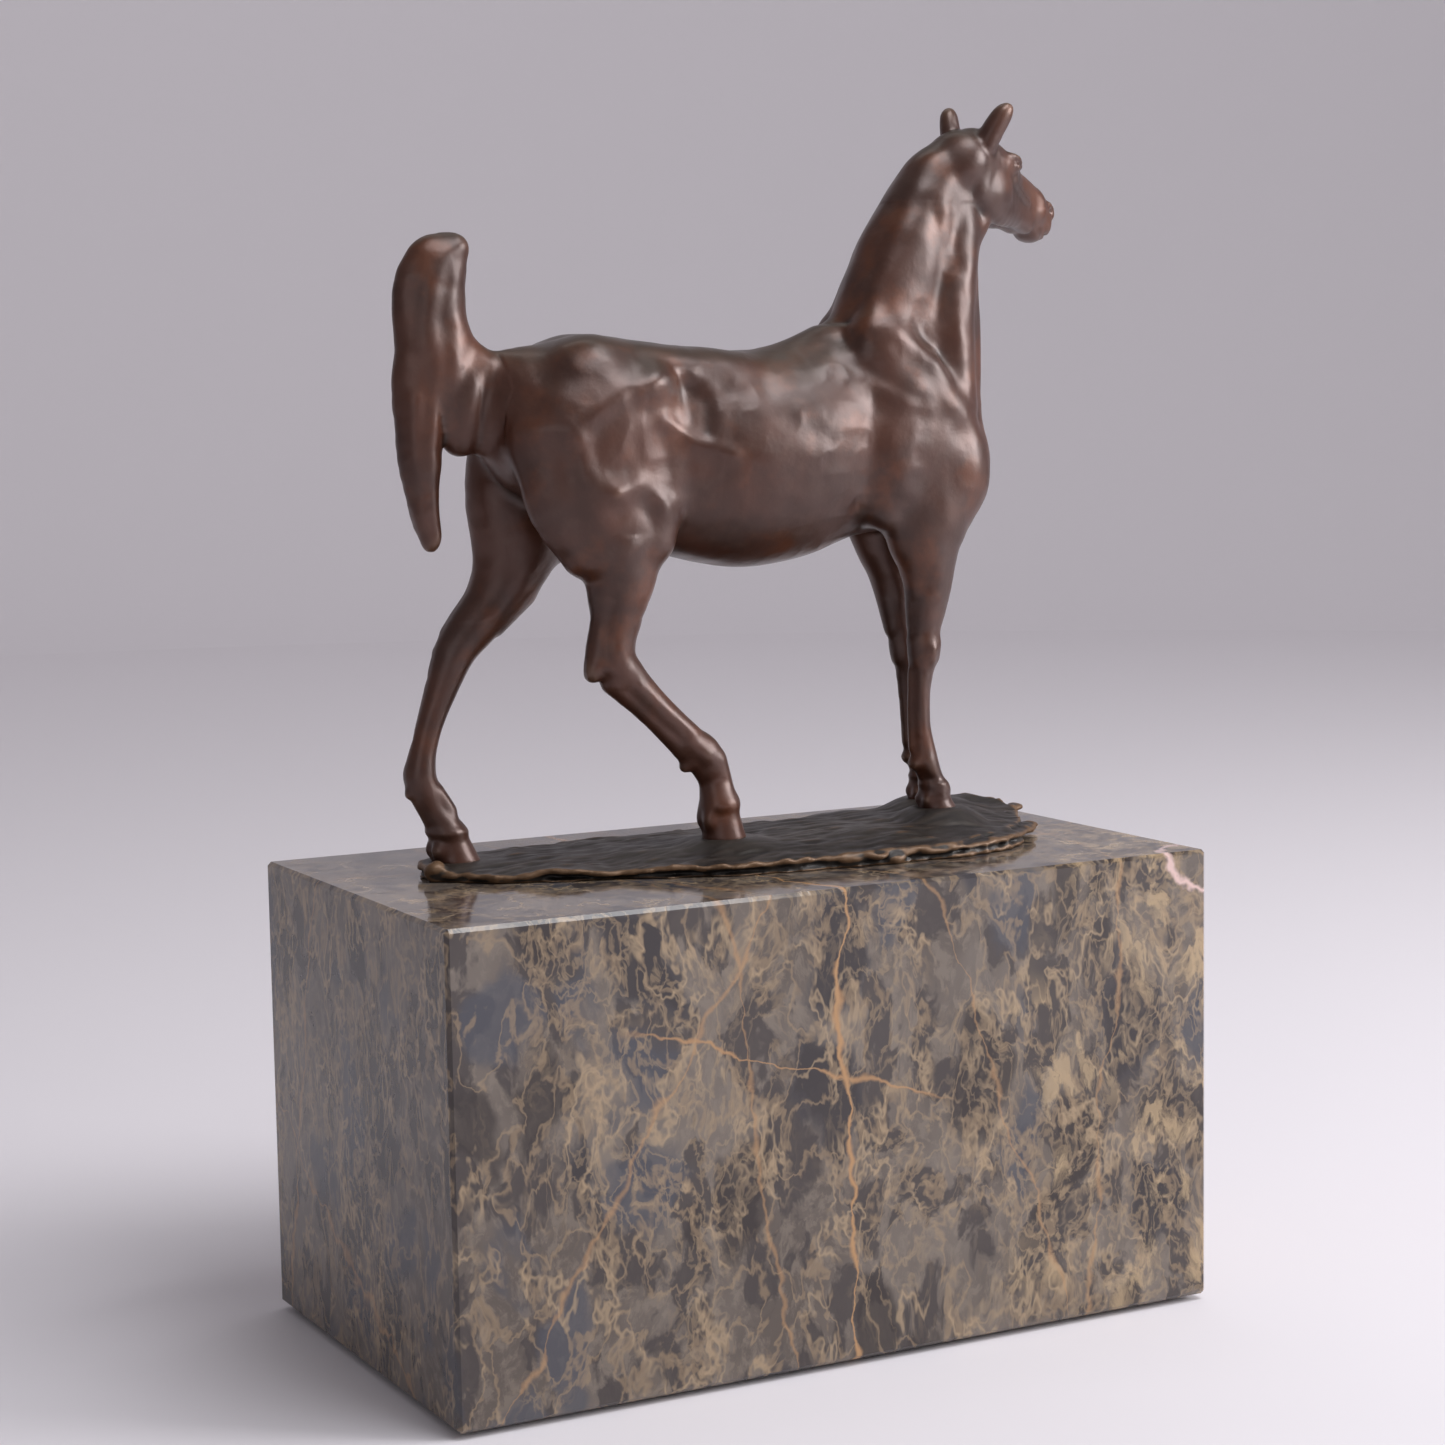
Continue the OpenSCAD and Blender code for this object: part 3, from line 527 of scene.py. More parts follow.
# Each hoof: middle of the crown, middle of the sole, and half the length and width of each.
HOOVES = {
    "leg_front_right": ((52, -8.7, 12.6), (53, -8.7, 8.4), (3.5, 3.3), (4.9, 4.3)),
    "leg_front_left": ((60, 9, 12.2), (60.9, 9, 8), (3.5, 3.3), (4.9, 4.3)),
    "leg_hind_right": ((-9.2, -10, 14.4), (-8, -10, 6), (4.3, 3.9), (5.5, 4.9)),
    "leg_hind_left": ((-70.4, 11, 9.6), (-68.6, 11, 3), (4.4, 4), (5.9, 5)),
}
# Heel bulbs, coronet bands and ergots: blend, then stations.
HOOF_DETAILS = [
    (1.0, [(-12.6, -11.6, 11.4, 1.8, 1.8, 3)]), (1.0, [(-12.6, -8.4, 11.4, 1.8, 1.8, 3)]),
    (1.0, [(-73.6, 9.2, 6.4, 2, 1.8, 2.4)]), (1.0, [(-73.6, 12.8, 6.4, 2, 1.8, 2.4)]),
    (0.8, [(49, -10.4, 10.8, 1.3, 1.4, 1.6)]), (0.8, [(49, -7, 10.8, 1.3, 1.4, 1.6)]),
    (0.8, [(57, 7.4, 10.4, 1.3, 1.4, 1.6)]), (0.8, [(57, 10.6, 10.4, 1.3, 1.4, 1.6)]),
    (0.8, [(-18.2, -10.2, 24.2, 1.5, 1.5, 1.4)]), (0.8, [(-80, 11, 20.2, 1.3, 1.5, 1.4)]),
]
LEG_CENTRES = {
    "leg_front_right": LEG_FRONT_RIGHT, "leg_front_left": LEG_FRONT_LEFT,
    "leg_hind_right": LEG_HIND_RIGHT, "leg_hind_left": LEG_HIND_LEFT,
}

TAIL = [
    (5.0, [(-55, 0, 113, 8, 7, 9.5), (-63, 0, 111.5, 6, 5.4, 12), (-70, 0, 115, 7, 5.4, 14),
           (-75.4, 0, 126, 8.6, 5.2, 12), (-76.4, 0, 135, 8.8, 5, 10),
           (-74.8, 0, 141.5, 7.6, 4.4, 7.8)]),
    (2.5, [(-74, 0, 142, 6, 4, 6), (-70.4, 0, 146, 3.8, 3.3, 3.6)]),
    (2.5, [(-70, 0, 110, 6, 5.2, 11), (-77.6, 0, 118, 7.4, 5.4, 14), (-79.4, 0, 107, 6.2, 5.2, 10),
           (-79.8, 0, 97, 4.7, 4.6, 8), (-79, 0, 88, 3.4, 3.8, 6), (-77.6, 0, 81.5, 2.5, 2.8, 4.4)]),
]

# The head in its own frame: along it from the poll, to its left, and up.
HEAD_TURN, HEAD_DROP = math.radians(29), math.radians(18)
HEAD_PLACE = Place((69, -0.8, 167.6),
                   (math.cos(HEAD_TURN) * math.cos(HEAD_DROP),
                    math.sin(HEAD_TURN) * math.cos(HEAD_DROP), -math.sin(HEAD_DROP)),
                   (-math.sin(HEAD_TURN), math.cos(HEAD_TURN), 0))
HEAD = [
    (2.5, [(-2, 0, 0, 6.5, 6, 7), (6, 0, 0.6, 6.5, 6.4, 7.4), (14, 0, 0, 6, 5.6, 7),
           (22, 0, -0.4, 5, 4.6, 6.4), (31, 0, -0.2, 4.6, 4.6, 6.2)]),
    (1.5, [(0, 0, 6, 4, 4.6, 3.2), (5, 0, 4.6, 4.6, 5.8, 3.6), (11, 0, 3.4, 5, 7, 4),
           (16.5, 0, 3, 4, 5, 3.8)]),
    (1.5, [(13, 0, 4.4, 4, 3.8, 3), (20, 0, 4, 4, 3.2, 2.8), (28, 0, 3.8, 3.8, 3, 2.6)]),
    (1.5, [(33, 0, 0.2, 4.4, 4.8, 5.8), (37, 0, -0.6, 3.8, 4.6, 5.2)]),
    (1.0, [(38.4, 0, -2.6, 2.8, 3.8, 3.2)]),
    (1.2, [(34, 0, -5.6, 3.8, 3.4, 2.2)]),
]
HEAD_SIDES = [
    (1.5, [(2, 3.4, -5, 4, 2.6, 5.4), (8, 3.9, -6, 5, 2.6, 6), (14, 3.5, -6, 5, 2.4, 5.2),
           (22, 2.4, -5, 4, 2.2, 3.4), (28, 2, -5, 3, 2.2, 2.6)]),
    (1.2, [(8, 5.2, -4, 5, 2, 5)]),                                          # cheek
    (0.8, [(9, 5.9, 5.4, 1.4, 0.9, 0.8), (12, 6.5, 5.7, 1.7, 0.9, 0.9),
           (15, 5.6, 4.8, 1.4, 0.8, 0.8)]),                                  # brow
    (0.8, [(14, 5.6, 0.6, 1.6, 0.9, 0.9), (19, 4.8, -0.4, 1.6, 0.8, 0.9),
           (24, 4.5, -1.2, 1.4, 0.7, 0.8)]),                                 # facial crest
    (0.8, [(36, 4, 2.6, 1.6, 0.9, 0.7), (38.6, 3.5, 2.4, 1.1, 0.8, 0.7),
           (39.6, 3.4, 0.9, 0.7, 0.8, 1)]),                                  # nostril rim
]
HEAD_CARVES = [
    (0.5, [(12, 7.7, 3.6, 2, 1.2, 1.3)]),                                    # eye socket
    (0.5, [(37.4, 5, 1.2, 1.3, 1.5, 0.9)]),                                  # nostril
    (0.4, [(41.2, 0, -4.4, 0.8, 1.2, 0.3), (38, 4.3, -4.6, 1.6, 0.9, 0.3),
           (34, 5.3, -4.2, 1.4, 0.8, 0.3)]),                                   # mouth
    (1.5, [(5.4, 7.4, 5.4, 1.8, 1, 1.2)]),                                   # above the eye
    (2.0, [(20, 6.2, 2.6, 4, 1, 1.3), (27, 6, 1.6, 3, 1, 1.2)]),             # beside the nose
]
EYES = [(0.3, [(12, 6.4, 3.6, 1.6, 1.2, 1.1)])]
EARS = {
    "left": ([(-1, 4.8, 4.2, 2.8, 2.8, 3), (-1.8, 5.8, 8.4, 3, 2.4, 2.6),
              (-2.2, 6.4, 11.4, 2.7, 2.1, 2.2), (-2.2, 6.6, 12.8, 1.9, 1.5, 1.5)],
             [(0.6, 7, 7.6, 0.8, 1, 1.6), (0.2, 7.6, 10.4, 1, 1, 1.6),
              (-0.8, 7.4, 12.8, 0.7, 0.7, 1)]),
    "right": ([(-1, -4.2, 4.8, 3, 3, 3), (-0.8, -6, 9, 3, 2.7, 2.8),
               (-0.6, -7.6, 12.4, 2.7, 2.4, 2.2), (-0.4, -8.4, 14, 1.8, 1.7, 1.4)],
              [(2, -7.6, 7.8, 0.8, 1, 1.6), (2.6, -9.2, 11, 1, 1.1, 1.8),
               (2, -9.8, 13.6, 0.7, 0.8, 1)]),
}


def path_distance(x, y, path):
    """Distance to a path of straight lines in a plane."""
    best = np.full(np.broadcast(x, y).shape, 1e9)
    for (ax, ay), (bx, by) in zip(path[:-1], path[1:]):
        ex, ey = bx - ax, by - ay
        t = np.clip(((x - ax) * ex + (y - ay) * ey) / max(ex * ex + ey * ey, 1e-9), 0, 1)
        best = np.minimum(best, np.hypot(x - ax - t * ex, y - ay - t * ey))
    return best


def smooth_path(path):
    """The path with points between its own, on a smooth curve."""
    if len(path) < 3:
        return path
    padded = [(x, z, 1, 1, 1, 1) for x, z in path]
    return [(p[0], p[1]) for p in spline(padded, 4)]


def press(verts, normals, strokes, among):
    """Raises or presses in the chosen vertices that face sideways, under each stroke."""
    height = np.zeros(len(verts))
    facing = soft_step((normals[:, 1] * np.sign(verts[:, 1]) - 0.05) / 0.5)
    for amount, width, path in strokes:
        spots = np.array(path)
        low, high = spots.min(0) - 3 * width, spots.max(0) + 3 * width
        near = (among & (verts[:, 0] > low[0]) & (verts[:, 0] < high[0])
                & (verts[:, 2] > low[1]) & (verts[:, 2] < high[1]))
        away = path_distance(verts[near, 0], verts[near, 2], smooth_path(path))
        height[near] += STROKE_DEPTH * amount * np.exp(-(away / width / STROKE_SPREAD) ** 2)
    return verts + normals * (height * facing)[:, None]


def press_sides(verts, quads):
    normals = vertex_normals(verts, quads)
    x, y, z = verts.T
    tail = (x < -60) & (np.abs(y) < 9) & (z > 74) & ((x < -72) | (z > 98))
    verts = press(verts, normals, SIDE_STROKES, ~tail & (z > 66))
    verts = press(verts, normals, TAIL_STROKES, tail)
    for name, strokes in LEG_STROKES.items():
        end = x > 20 if "front" in name else x <= 20
        side = y > 0 if "left" in name else y < 0
        verts = press(verts, normals, strokes, end & side & (z < 80))
    return verts


def soft_step(t):
    t = np.clip(t, 0, 1)
    return t * t * (3 - 2 * t)


def horse_skin():
    """The whole horse as one skin: vertices in millimetres, and quads."""
    clay = Clay((-92, -26, 1), (108, 26, 188), CELL)
    clay.add(TRUNK, 0.1, steps=10)
    clay.add(NECK, 6, steps=8)
    clay.add(CREST, 5, steps=8)
    clay.add(THROAT, 4, steps=8)
    clay.model(MUSCLES, mirrored=True)
    for name, stations in LEG_CENTRES.items():
        clay.add(stations, 3, steps=8)
        clay.model(LEG_SHAPES[name])
    for crown, sole, crown_size, sole_size in HOOVES.values():
        clay.add([(*crown, *crown_size, 1.2), (*sole, *sole_size, 1.2)], 1.5, steps=1)
    clay.model(HOOF_DETAILS)
    clay.model(TAIL)
    for blend, stations in HEAD:
        clay.add(stations, blend + 0.5, HEAD_PLACE)
    clay.model(HEAD_SIDES, HEAD_PLACE, mirrored=True)
    for stations, cup in EARS.values():
        clay.add(stations, 1.2, HEAD_PLACE)
        clay.carve(cup, 0.6, HEAD_PLACE)
    for blend, stations in HEAD_CARVES:
        for shape in both_sides(stations):
            clay.carve(shape, blend, HEAD_PLACE)
    clay.model(EYES, HEAD_PLACE, mirrored=True)
    verts, quads = clay.skin()
    head = (verts[:, 2] > HEAD_FROM_Z) | (verts[:, 0] > HEAD_FROM_X)
    verts = np.where(head[:, None], relax(verts, quads, HEAD_ROUNDS),
                     relax(verts, quads, BODY_ROUNDS))
    return press_sides(verts, quads), quads


def dab(verts, quads):
    """The uneven surface that a modelling tool leaves in wax."""
    normals = vertex_normals(verts, quads)
    head = verts[:, 2] > 158
    low = verts[:, 2] < 60
    strength = np.where(head, 0.35, np.where(low, 0.45, 1.0))
    broad = noise(verts, 7.5, 1) * 0.2 + noise(verts, 3.6, 2) * 0.05
    fine = noise(verts, 1.6, 3) * 0.01
    ridge = 0.14 - np.abs(noise(verts + 50, 5.2, 4)) * 0.35
    height = strength * (broad + fine + ridge * 0.45)
    return verts + normals * height[:, None]


def neighbour_mean(values, quads):
    ends = np.concatenate([quads[:, [i, (i + 1) % 4]] for i in range(4)])
    ends = np.concatenate([ends, ends[:, ::-1]])
    count = np.maximum(np.bincount(ends[:, 0], minlength=len(values)), 1)
    return np.stack([np.bincount(ends[:, 0], values[ends[:, 1], k], minlength=len(values))
                     for k in range(values.shape[1])], 1) / count[:, None]


def relief_of(verts, quads, normals, rounds, depth):
    """How far each spot stands above its surroundings: -1 in a crease, 1 on a ridge."""
    soft = verts
    for i in range(rounds):
        soft = neighbour_mean(soft, quads)
    height = ((verts - soft) * normals).sum(1)
    return np.clip(height / depth, -1, 1)


# ------------------------------------------------------------------ meshes

def skin_mesh(name, verts, quads, relief):
    mesh = bpy.data.meshes.new(name)
    mesh.from_pydata((verts + [0, 0, TOP]) * MM, [], quads.tolist())
    mesh.attributes.new("relief", "FLOAT", "POINT").data.foreach_set("value", relief)
    return mesh


def finish_piece(mesh, node, material):
    """Turns a mesh into the piece that stands for a CAD node."""
    piece = bpy.data.objects.new(node + "_cast", mesh)
    bpy.context.scene.collection.objects.link(piece)
    mesh.materials.append(material)
    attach(piece, "root")
    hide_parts(node)
    return piece


def slice_at(bm, faces, point, normal):
    parts = set(faces)
    for face in faces:
        parts.update(face.edges)
        parts.update(face.verts)
    bmesh.ops.bisect_plane(bm, geom=list(parts), dist=1e-8, plane_co=point, plane_no=normal)


def piece_of(centre, tail_normal):
    """The casting that a face belongs to, from the middle of the face in millimetres."""
    if centre.z < JOINT_Z:
        end = "front" if centre.x > 20 else "hind"
        return f"leg_{end}_{'left' if centre.y > 0 else 'right'}"
    if centre.x < -70 or (centre - TAIL_JOINT).dot(tail_normal) > 0:
        return "tail"
    return "horse_body"


def cast_horse(material):
    """Skins the horse, cuts it at its casting joints and closes each cut."""
    verts, quads = horse_skin()
    verts = dab(verts, quads)
    normals = vertex_normals(verts, quads)
    relief = 0.5 * (relief_of(verts, quads, normals, 8, 0.35)
                    + relief_of(verts, quads, normals, 40, 1.2))
    mesh = skin_mesh("horse", verts, quads, relief)
    mesh.attributes.new("skin_normal", "FLOAT_VECTOR", "POINT").data.foreach_set(
        "vector", normals.ravel())
    whole = bmesh.new()
    whole.from_mesh(mesh)
    tail_normal = Vector((-math.cos(TAIL_TILT), 0, math.sin(TAIL_TILT)))
    up = Vector((0, 0, TOP)) * MM
    slice_at(whole, whole.faces[:], Vector((0, 0, JOINT_Z)) * MM + up, (0, 0, 1))
    near = []
    for face in whole.faces:
        c = (face.calc_center_median() - up) / MM
        if abs(c.y) < 12 and 92 < c.z < 130 and -75 < c.x < -55:
            near.append(face)
    slice_at(whole, near, TAIL_JOINT * MM + up, tail_normal)
    names = ["horse_body", "tail", *LEG_CENTRES]
    for face in whole.faces:
        c = (face.calc_center_median() - up) / MM
        face.material_index = names.index(piece_of(c, tail_normal))
    for index, name in enumerate(names):
        part = whole.copy()
        other = [f for f in part.faces if f.material_index != index]
        bmesh.ops.delete(part, geom=other, context="FACES")
        rim = [e for e in part.edges if e.is_boundary]
        caps = bmesh.ops.holes_fill(part, edges=rim, sides=0)["faces"]
        bmesh.ops.triangulate(part, faces=caps)
        for face in part.faces:
            face.material_index = 0
            face.smooth = True
        casting = bpy.data.meshes.new(name)
        part.to_mesh(casting)
        part.free()
        flow = np.empty(len(casting.vertices) * 3, np.float32)
        casting.attributes["skin_normal"].data.foreach_get("vector", flow)
        casting.attributes.remove(casting.attributes["skin_normal"])
        casting.normals_split_custom_set_from_vertices(flow.reshape(-1, 3))
        finish_piece(casting, name, material)
    whole.free()
    bpy.data.meshes.remove(mesh)


# ------------------------------------------------------------ ground plate

RIM = [(-79, 5), (-67, -8), (-50, -15), (-36, -20), (-10, -31), (12, -33), (41, -34),
       (64, -24), (78, -9), (83.5, 5), (82, 19), (60, 27), (30, 26), (0, 26), (-30, 28),
       (-55, 26), (-76, 18)]


def outline_distance(x, y, corners):
    """Distance to a closed outline seen from above, negative inside it."""
    best = np.full(np.broadcast(x, y).shape, 1e9)
    inside = np.zeros(best.shape, bool)
    for (ax, ay), (bx, by) in zip(corners, corners[1:] + corners[:1]):
        ex, ey = bx - ax, by - ay
        t = np.clip(((x - ax) * ex + (y - ay) * ey) / (ex * ex + ey * ey), 0, 1)
        best = np.minimum(best, (x - ax - t * ex) ** 2 + (y - ay - t * ey) ** 2)
        crosses = (ay > y) != (by > y)
        inside ^= crosses & (x < ex * (y - ay) / (by - ay if by != ay else 1e-9) + ax)
    return np.where(inside, -1, 1) * np.sqrt(best)


def ground_height(x, y, inside):
    """Height of the plate's top, from its depth inside the rim."""
    spots = np.stack(np.broadcast_arrays(x, y, np.float64(0)), -1).reshape(-1, 3)
    shape = np.broadcast(x, y).shape
    along = x + 76
    height = 2.3 + 0.012 * along + (1.1 + 0.013 * along) * soft_step(inside / 16)
    height = height + 0.5 * noise(spots, 13, 11).reshape(shape)
    height = height + 0.28 * noise(spots * [1, 2.6, 1], 5.5, 12).reshape(shape)
    height = height + 0.16 * noise(spots * [0.35, 1.6, 1], 1.5, 13).reshape(shape)
    ridge = path_distance(x, y, [(62, 18), (72, 15), (79, 13), (85, 8)])
    height = height + 2.6 * np.exp(-(ridge / 4.5) ** 2)
    for _, sole, _, sole_size in HOOVES.values():
        away = np.hypot(x - sole[0], y - sole[1])
        share = soft_step(1 - (away - sole_size[0] - 0.6) / 8)
        height = height + (sole[2] + 0.5 - height) * share
    return height


def ground_skin():
    """The modelled ground: a worn upper lip over an undercut, broken edge."""
    cell = 0.45
    clay = Clay((-84, -39, -0.6), (92, 32, 13.5), cell)
    x = clay.axes[0].astype(float)[:, None]
    y = clay.axes[1].astype(float)[None, :]
    spots = np.stack(np.broadcast_arrays(x, y, np.float64(0)), -1).reshape(-1, 3)
    flat = np.broadcast(x, y).shape
    edge = outline_distance(x, y, RIM)
    edge = edge + 1.0 * noise(spots, 8, 21).reshape(flat) + 0.45 * noise(spots, 3, 22).reshape(flat)
    top = ground_height(x, y, -edge)
    z = clay.axes[2].astype(float)
    depth = top[:, :, None] - z
    gap = 0.45 + 0.55 * soft_step((30 - np.abs(x + 30)) / 10)
    lip = 1.9 * soft_step((depth - 1.0) / 0.7) - 1.5 * soft_step((depth - 2.3) / 1.0)
    side = edge[:, :, None] + gap[:, :, None] * lip
    grid = np.stack(np.meshgrid(x[:, 0], y[0], z, indexing="ij"), -1).reshape(-1, 3)
    near = np.abs(side).ravel() < 6
    rough = np.zeros(len(grid))
    rough[near] = (0.8 * noise(grid[near] * [1, 1, 3.2], 6, 23)
                   + 0.45 * noise(grid[near] * [1, 1, 1.5], 2.2, 24))
    side = side + rough.reshape(side.shape) * soft_step(depth / 2)
    clay.field = smooth_max(-depth, side, 0.7).astype(np.float32)
    clay.model(GROUND_LUMPS)
    shell = np.abs(clay.field.ravel()) < 3
    rough = np.zeros(len(grid))
    rough[shell] = 0.42 * noise(grid[shell] * [1, 1, 1.6], 2.6, 25)
    clay.field = clay.field + (rough.reshape(clay.field.shape)
                               * soft_step((3 + edge) / 3)[:, :, None]).astype(np.float32)
    clay.field = np.maximum(clay.field, -(z - 0.02)[None, None, :].astype(np.float32))
    verts, quads = clay.skin()
    return relax(verts, quads, 2), quads


# Lumps and broken shelves on the plate's edge: blend, then stations.
GROUND_LUMPS = [
    (1.6, [(15, -31, 1.9, 4, 3, 1.2)]), (1.0, [(21, -32.6, 2.4, 3.2, 2.6, 1)]),
    (0.8, [(25.6, -32.4, 1.4, 3, 2.4, 1.2)]), (1.2, [(30, -31.4, 2.3, 3.4, 2.6, 0.9)]),
    (1.0, [(36, -32.5, 2.2, 4, 2.4, 1.0), (52, -30.5, 2.6, 4, 2.4, 1.0), (64, -24, 2.6, 4, 2.4, 1.0),
           (75, -15, 2.4, 3, 2, 0.9)]),
    (0.8, [(44, -32, 0.6, 4, 2.6, 1.1), (58, -28, 0.7, 5, 3, 1.1), (67, -21.5, 0.6, 3, 2.4, 0.9)]),
    (1.0, [(76, -11, 1.7, 3, 3, 0.9), (80.5, -8, 1.8, 2.6, 2.4, 0.8)]),
    (1.0, [(80, 4, 4.2, 3, 3, 1.0), (85, 5.4, 4.6, 2, 2.6, 0.9)]),
    (1.2, [(-77, 4, 2.6, 2.6, 2.4, 2.4)]),
]


def cast_ground(material):
    verts, quads = ground_skin()
    normals = vertex_normals(verts, quads)
    relief = 0.5 * (relief_of(verts, quads, normals, 5, 0.1)
                    + relief_of(verts, quads, normals, 24, 0.6))
    mesh = skin_mesh("ground_plate", verts, quads, relief)
    mesh.polygons.foreach_set("use_smooth", [True] * len(mesh.polygons))
    finish_piece(mesh, "ground_plate", material)


# --------------------------------------------------------------- materials

class Shader:
    """A node material, with short ways to add and join its nodes."""

    def __init__(self, name):
        self.material = bpy.data.materials.new(name)
        self.material.use_nodes = True
        self.tree = self.material.node_tree
        self.surface = self.tree.nodes["Principled BSDF"]
        self.place = self.node("ShaderNodeTexCoord").outputs["Object"]

    def node(self, kind, **facts):
        made = self.tree.nodes.new(kind)
        for key, value in facts.items():
            setattr(made, key, value)
        return made

    def link(self, source, target):
        if isinstance(source, bpy.types.NodeSocket):
            self.tree.links.new(source, target)
        else:
            target.default_value = source

    def scaled(self, scale):
        made = self.node("ShaderNodeMapping")
        made.inputs["Scale"].default_value = scale
        self.link(self.place, made.inputs["Vector"])
        return made.outputs["Vector"]

    def noise(self, scale, detail=4.0, rough=0.55, where=None, warp=0.0, colour=False):
        made = self.node("ShaderNodeTexNoise")
        self.link(where or self.place, made.inputs["Vector"])
        made.inputs["Scale"].default_value = scale
        made.inputs["Detail"].default_value = detail
        made.inputs["Roughness"].default_value = rough
        made.inputs["Distortion"].default_value = warp
        return made.outputs["Color" if colour else "Fac"]

    def voronoi(self, scale, feature="F1", where=None, output="Distance"):
        made = self.node("ShaderNodeTexVoronoi", feature=feature)
        self.link(where or self.place, made.inputs["Vector"])
        made.inputs["Scale"].default_value = scale
        return made.outputs[output]

    def maths(self, what, a, b=0.0):
        made = self.node("ShaderNodeMath", operation=what)
        self.link(a, made.inputs[0])
        self.link(b, made.inputs[1])
        return made.outputs[0]

    def span(self, value, low, high, to_low=0.0, to_high=1.0):
        made = self.node("ShaderNodeMapRange", interpolation_type="SMOOTHSTEP")
        self.link(value, made.inputs["Value"])
        for key, number in (("From Min", low), ("From Max", high),
                            ("To Min", to_low), ("To Max", to_high)):
            self.link(number, made.inputs[key])
        return made.outputs["Result"]

    def mix(self, share, a, b):
        made = self.node("ShaderNodeMix", data_type="RGBA", blend_type="MIX")
        self.link(share, made.inputs[0])
        self.link(a, made.inputs[6])
        self.link(b, made.inputs[7])
        return made.outputs[2]

    def moved(self, amount, scale, detail=3.0, where=None):
        """The place, pushed about by noise, so that patterns lose their straightness."""
        push = self.node("ShaderNodeVectorMath", operation="SUBTRACT")
        self.link(self.noise(scale, detail, where=where, colour=True), push.inputs[0])
        push.inputs[1].default_value = (0.5, 0.5, 0.5)
        sized = self.node("ShaderNodeVectorMath", operation="SCALE")
        self.link(push.outputs[0], sized.inputs[0])
        sized.inputs["Scale"].default_value = amount
        total = self.node("ShaderNodeVectorMath", operation="ADD")
        self.link(sized.outputs[0], total.inputs[0])
        self.link(where or self.place, total.inputs[1])
        return total.outputs[0]

    def relief(self):
        return self.node("ShaderNodeAttribute", attribute_name="relief").outputs["Fac"]

    def bump(self, height, distance, strength=1.0):
        made = self.node("ShaderNodeBump")
        made.inputs["Strength"].default_value = strength
        made.inputs["Distance"].default_value = distance
        self.link(height, made.inputs["Height"])
        self.link(made.outputs["Normal"], self.surface.inputs["Normal"])

    def set(self, **values):
        for key, value in values.items():
            self.link(value, self.surface.inputs[key.replace("_", " ")])


def srgb(red, green, blue):
    """A linear colour from the 0 to 255 values that a colour picker shows."""
    def linear(c):
        c = c / 255
        return c / 12.92 if c < 0.04045 else ((c + 0.055) / 1.055) ** 2.4
    return (linear(red), linear(green), linear(blue), 1.0)


def bronze_material():
    """Chocolate-brown patina under wax, rubbed lighter on ridges; dark in creases, partly patina and
    partly painted shade; faces that point up tinted dark olive as painted shade.
    """
    s = Shader("bronze_patina")
    relief = s.relief()
    colour = s.mix(s.span(s.noise(45, 3), 0.35, 0.65), srgb(57, 31, 21), srgb(76, 43, 30))
    colour = s.mix(s.span(s.noise(75, 4), 0.5, 0.7, 0, 0.6), colour, srgb(98, 52, 26))
    colour = s.mix(s.span(s.noise(260, 4), 0.45, 0.75, 0, 0.3), colour, srgb(82, 57, 46))
    # painted shade: faces that point up are tinted towards dark olive, as weakly lit tops look
    up = s.node("ShaderNodeSeparateXYZ")
    s.link(s.node("ShaderNodeNewGeometry").outputs["Normal"], up.inputs[0])
    colour = s.mix(s.span(up.outputs["Z"], 0.45, 1.0, 0, 0.7), colour, srgb(50, 42, 26))
    # painted shade, partly patina: creases are darkened towards near black
    colour = s.mix(s.span(relief, 0.0, -0.7, 0, 0.75), colour, srgb(24, 16, 13))
    colour = s.mix(s.span(relief, 0.35, 1.0, 0, 0.5), colour, srgb(112, 84, 66))
    s.set(Base_Color=colour, Roughness=s.span(s.noise(120, 3), 0.3, 0.7, 0.34, 0.44))
    s.surface.inputs["Metallic"].default_value = 0.3
    s.surface.inputs["Specular IOR Level"].default_value = 0.6
    s.surface.inputs["Coat Weight"].default_value = 0.18
    s.surface.inputs["Coat Roughness"].default_value = 0.3
    s.bump(s.noise(900, 5), 0.00012, 0.35)
    return s.material


def ground_material():
    """The ground's patina: grey-green in the brushed hollows, darkened further in creases as patina
    and painted shade, golden on the worn rim.
    """
    s = Shader("ground_patina")
    relief = s.relief()
    strokes = s.noise(1, 4, where=s.scaled((60, 420, 200)))
    broad = s.noise(50, 3)
    colour = s.mix(s.span(broad, 0.35, 0.65), srgb(34, 28, 25), srgb(46, 40, 34))
    colour = s.mix(s.span(strokes, 0.45, 0.7, 0, 0.6), colour, srgb(62, 52, 44))
    # painted shade, partly dark patina: hollows are darkened towards near black
    colour = s.mix(s.span(relief, -0.05, -0.6, 0, 0.85), colour, srgb(22, 17, 15))
    colour = s.mix(s.span(relief, 0.3, 0.9, 0, 0.7), colour, srgb(118, 88, 60))
    s.set(Base_Color=colour, Roughness=s.span(s.noise(200, 3), 0.3, 0.7, 0.42, 0.6))
    s.surface.inputs["Metallic"].default_value = 0.35
    s.surface.inputs["Specular IOR Level"].default_value = 0.5
    s.surface.inputs["Coat Weight"].default_value = 0.1
    s.surface.inputs["Coat Roughness"].default_value = 0.3
    s.bump(s.mix(0.5, strokes, s.noise(700, 5)), 0.0002, 0.5)
    return s.material


def ridge_lines(s, where, scale, width, detail=5.0, rough=0.5):
    """Wandering lines where a noise crosses its middle value, as stone veins do."""
    away = s.maths("ABSOLUTE", s.maths("SUBTRACT", s.noise(scale, detail, rough, where), 0.5))
    return s.span(away, width, 0.0)


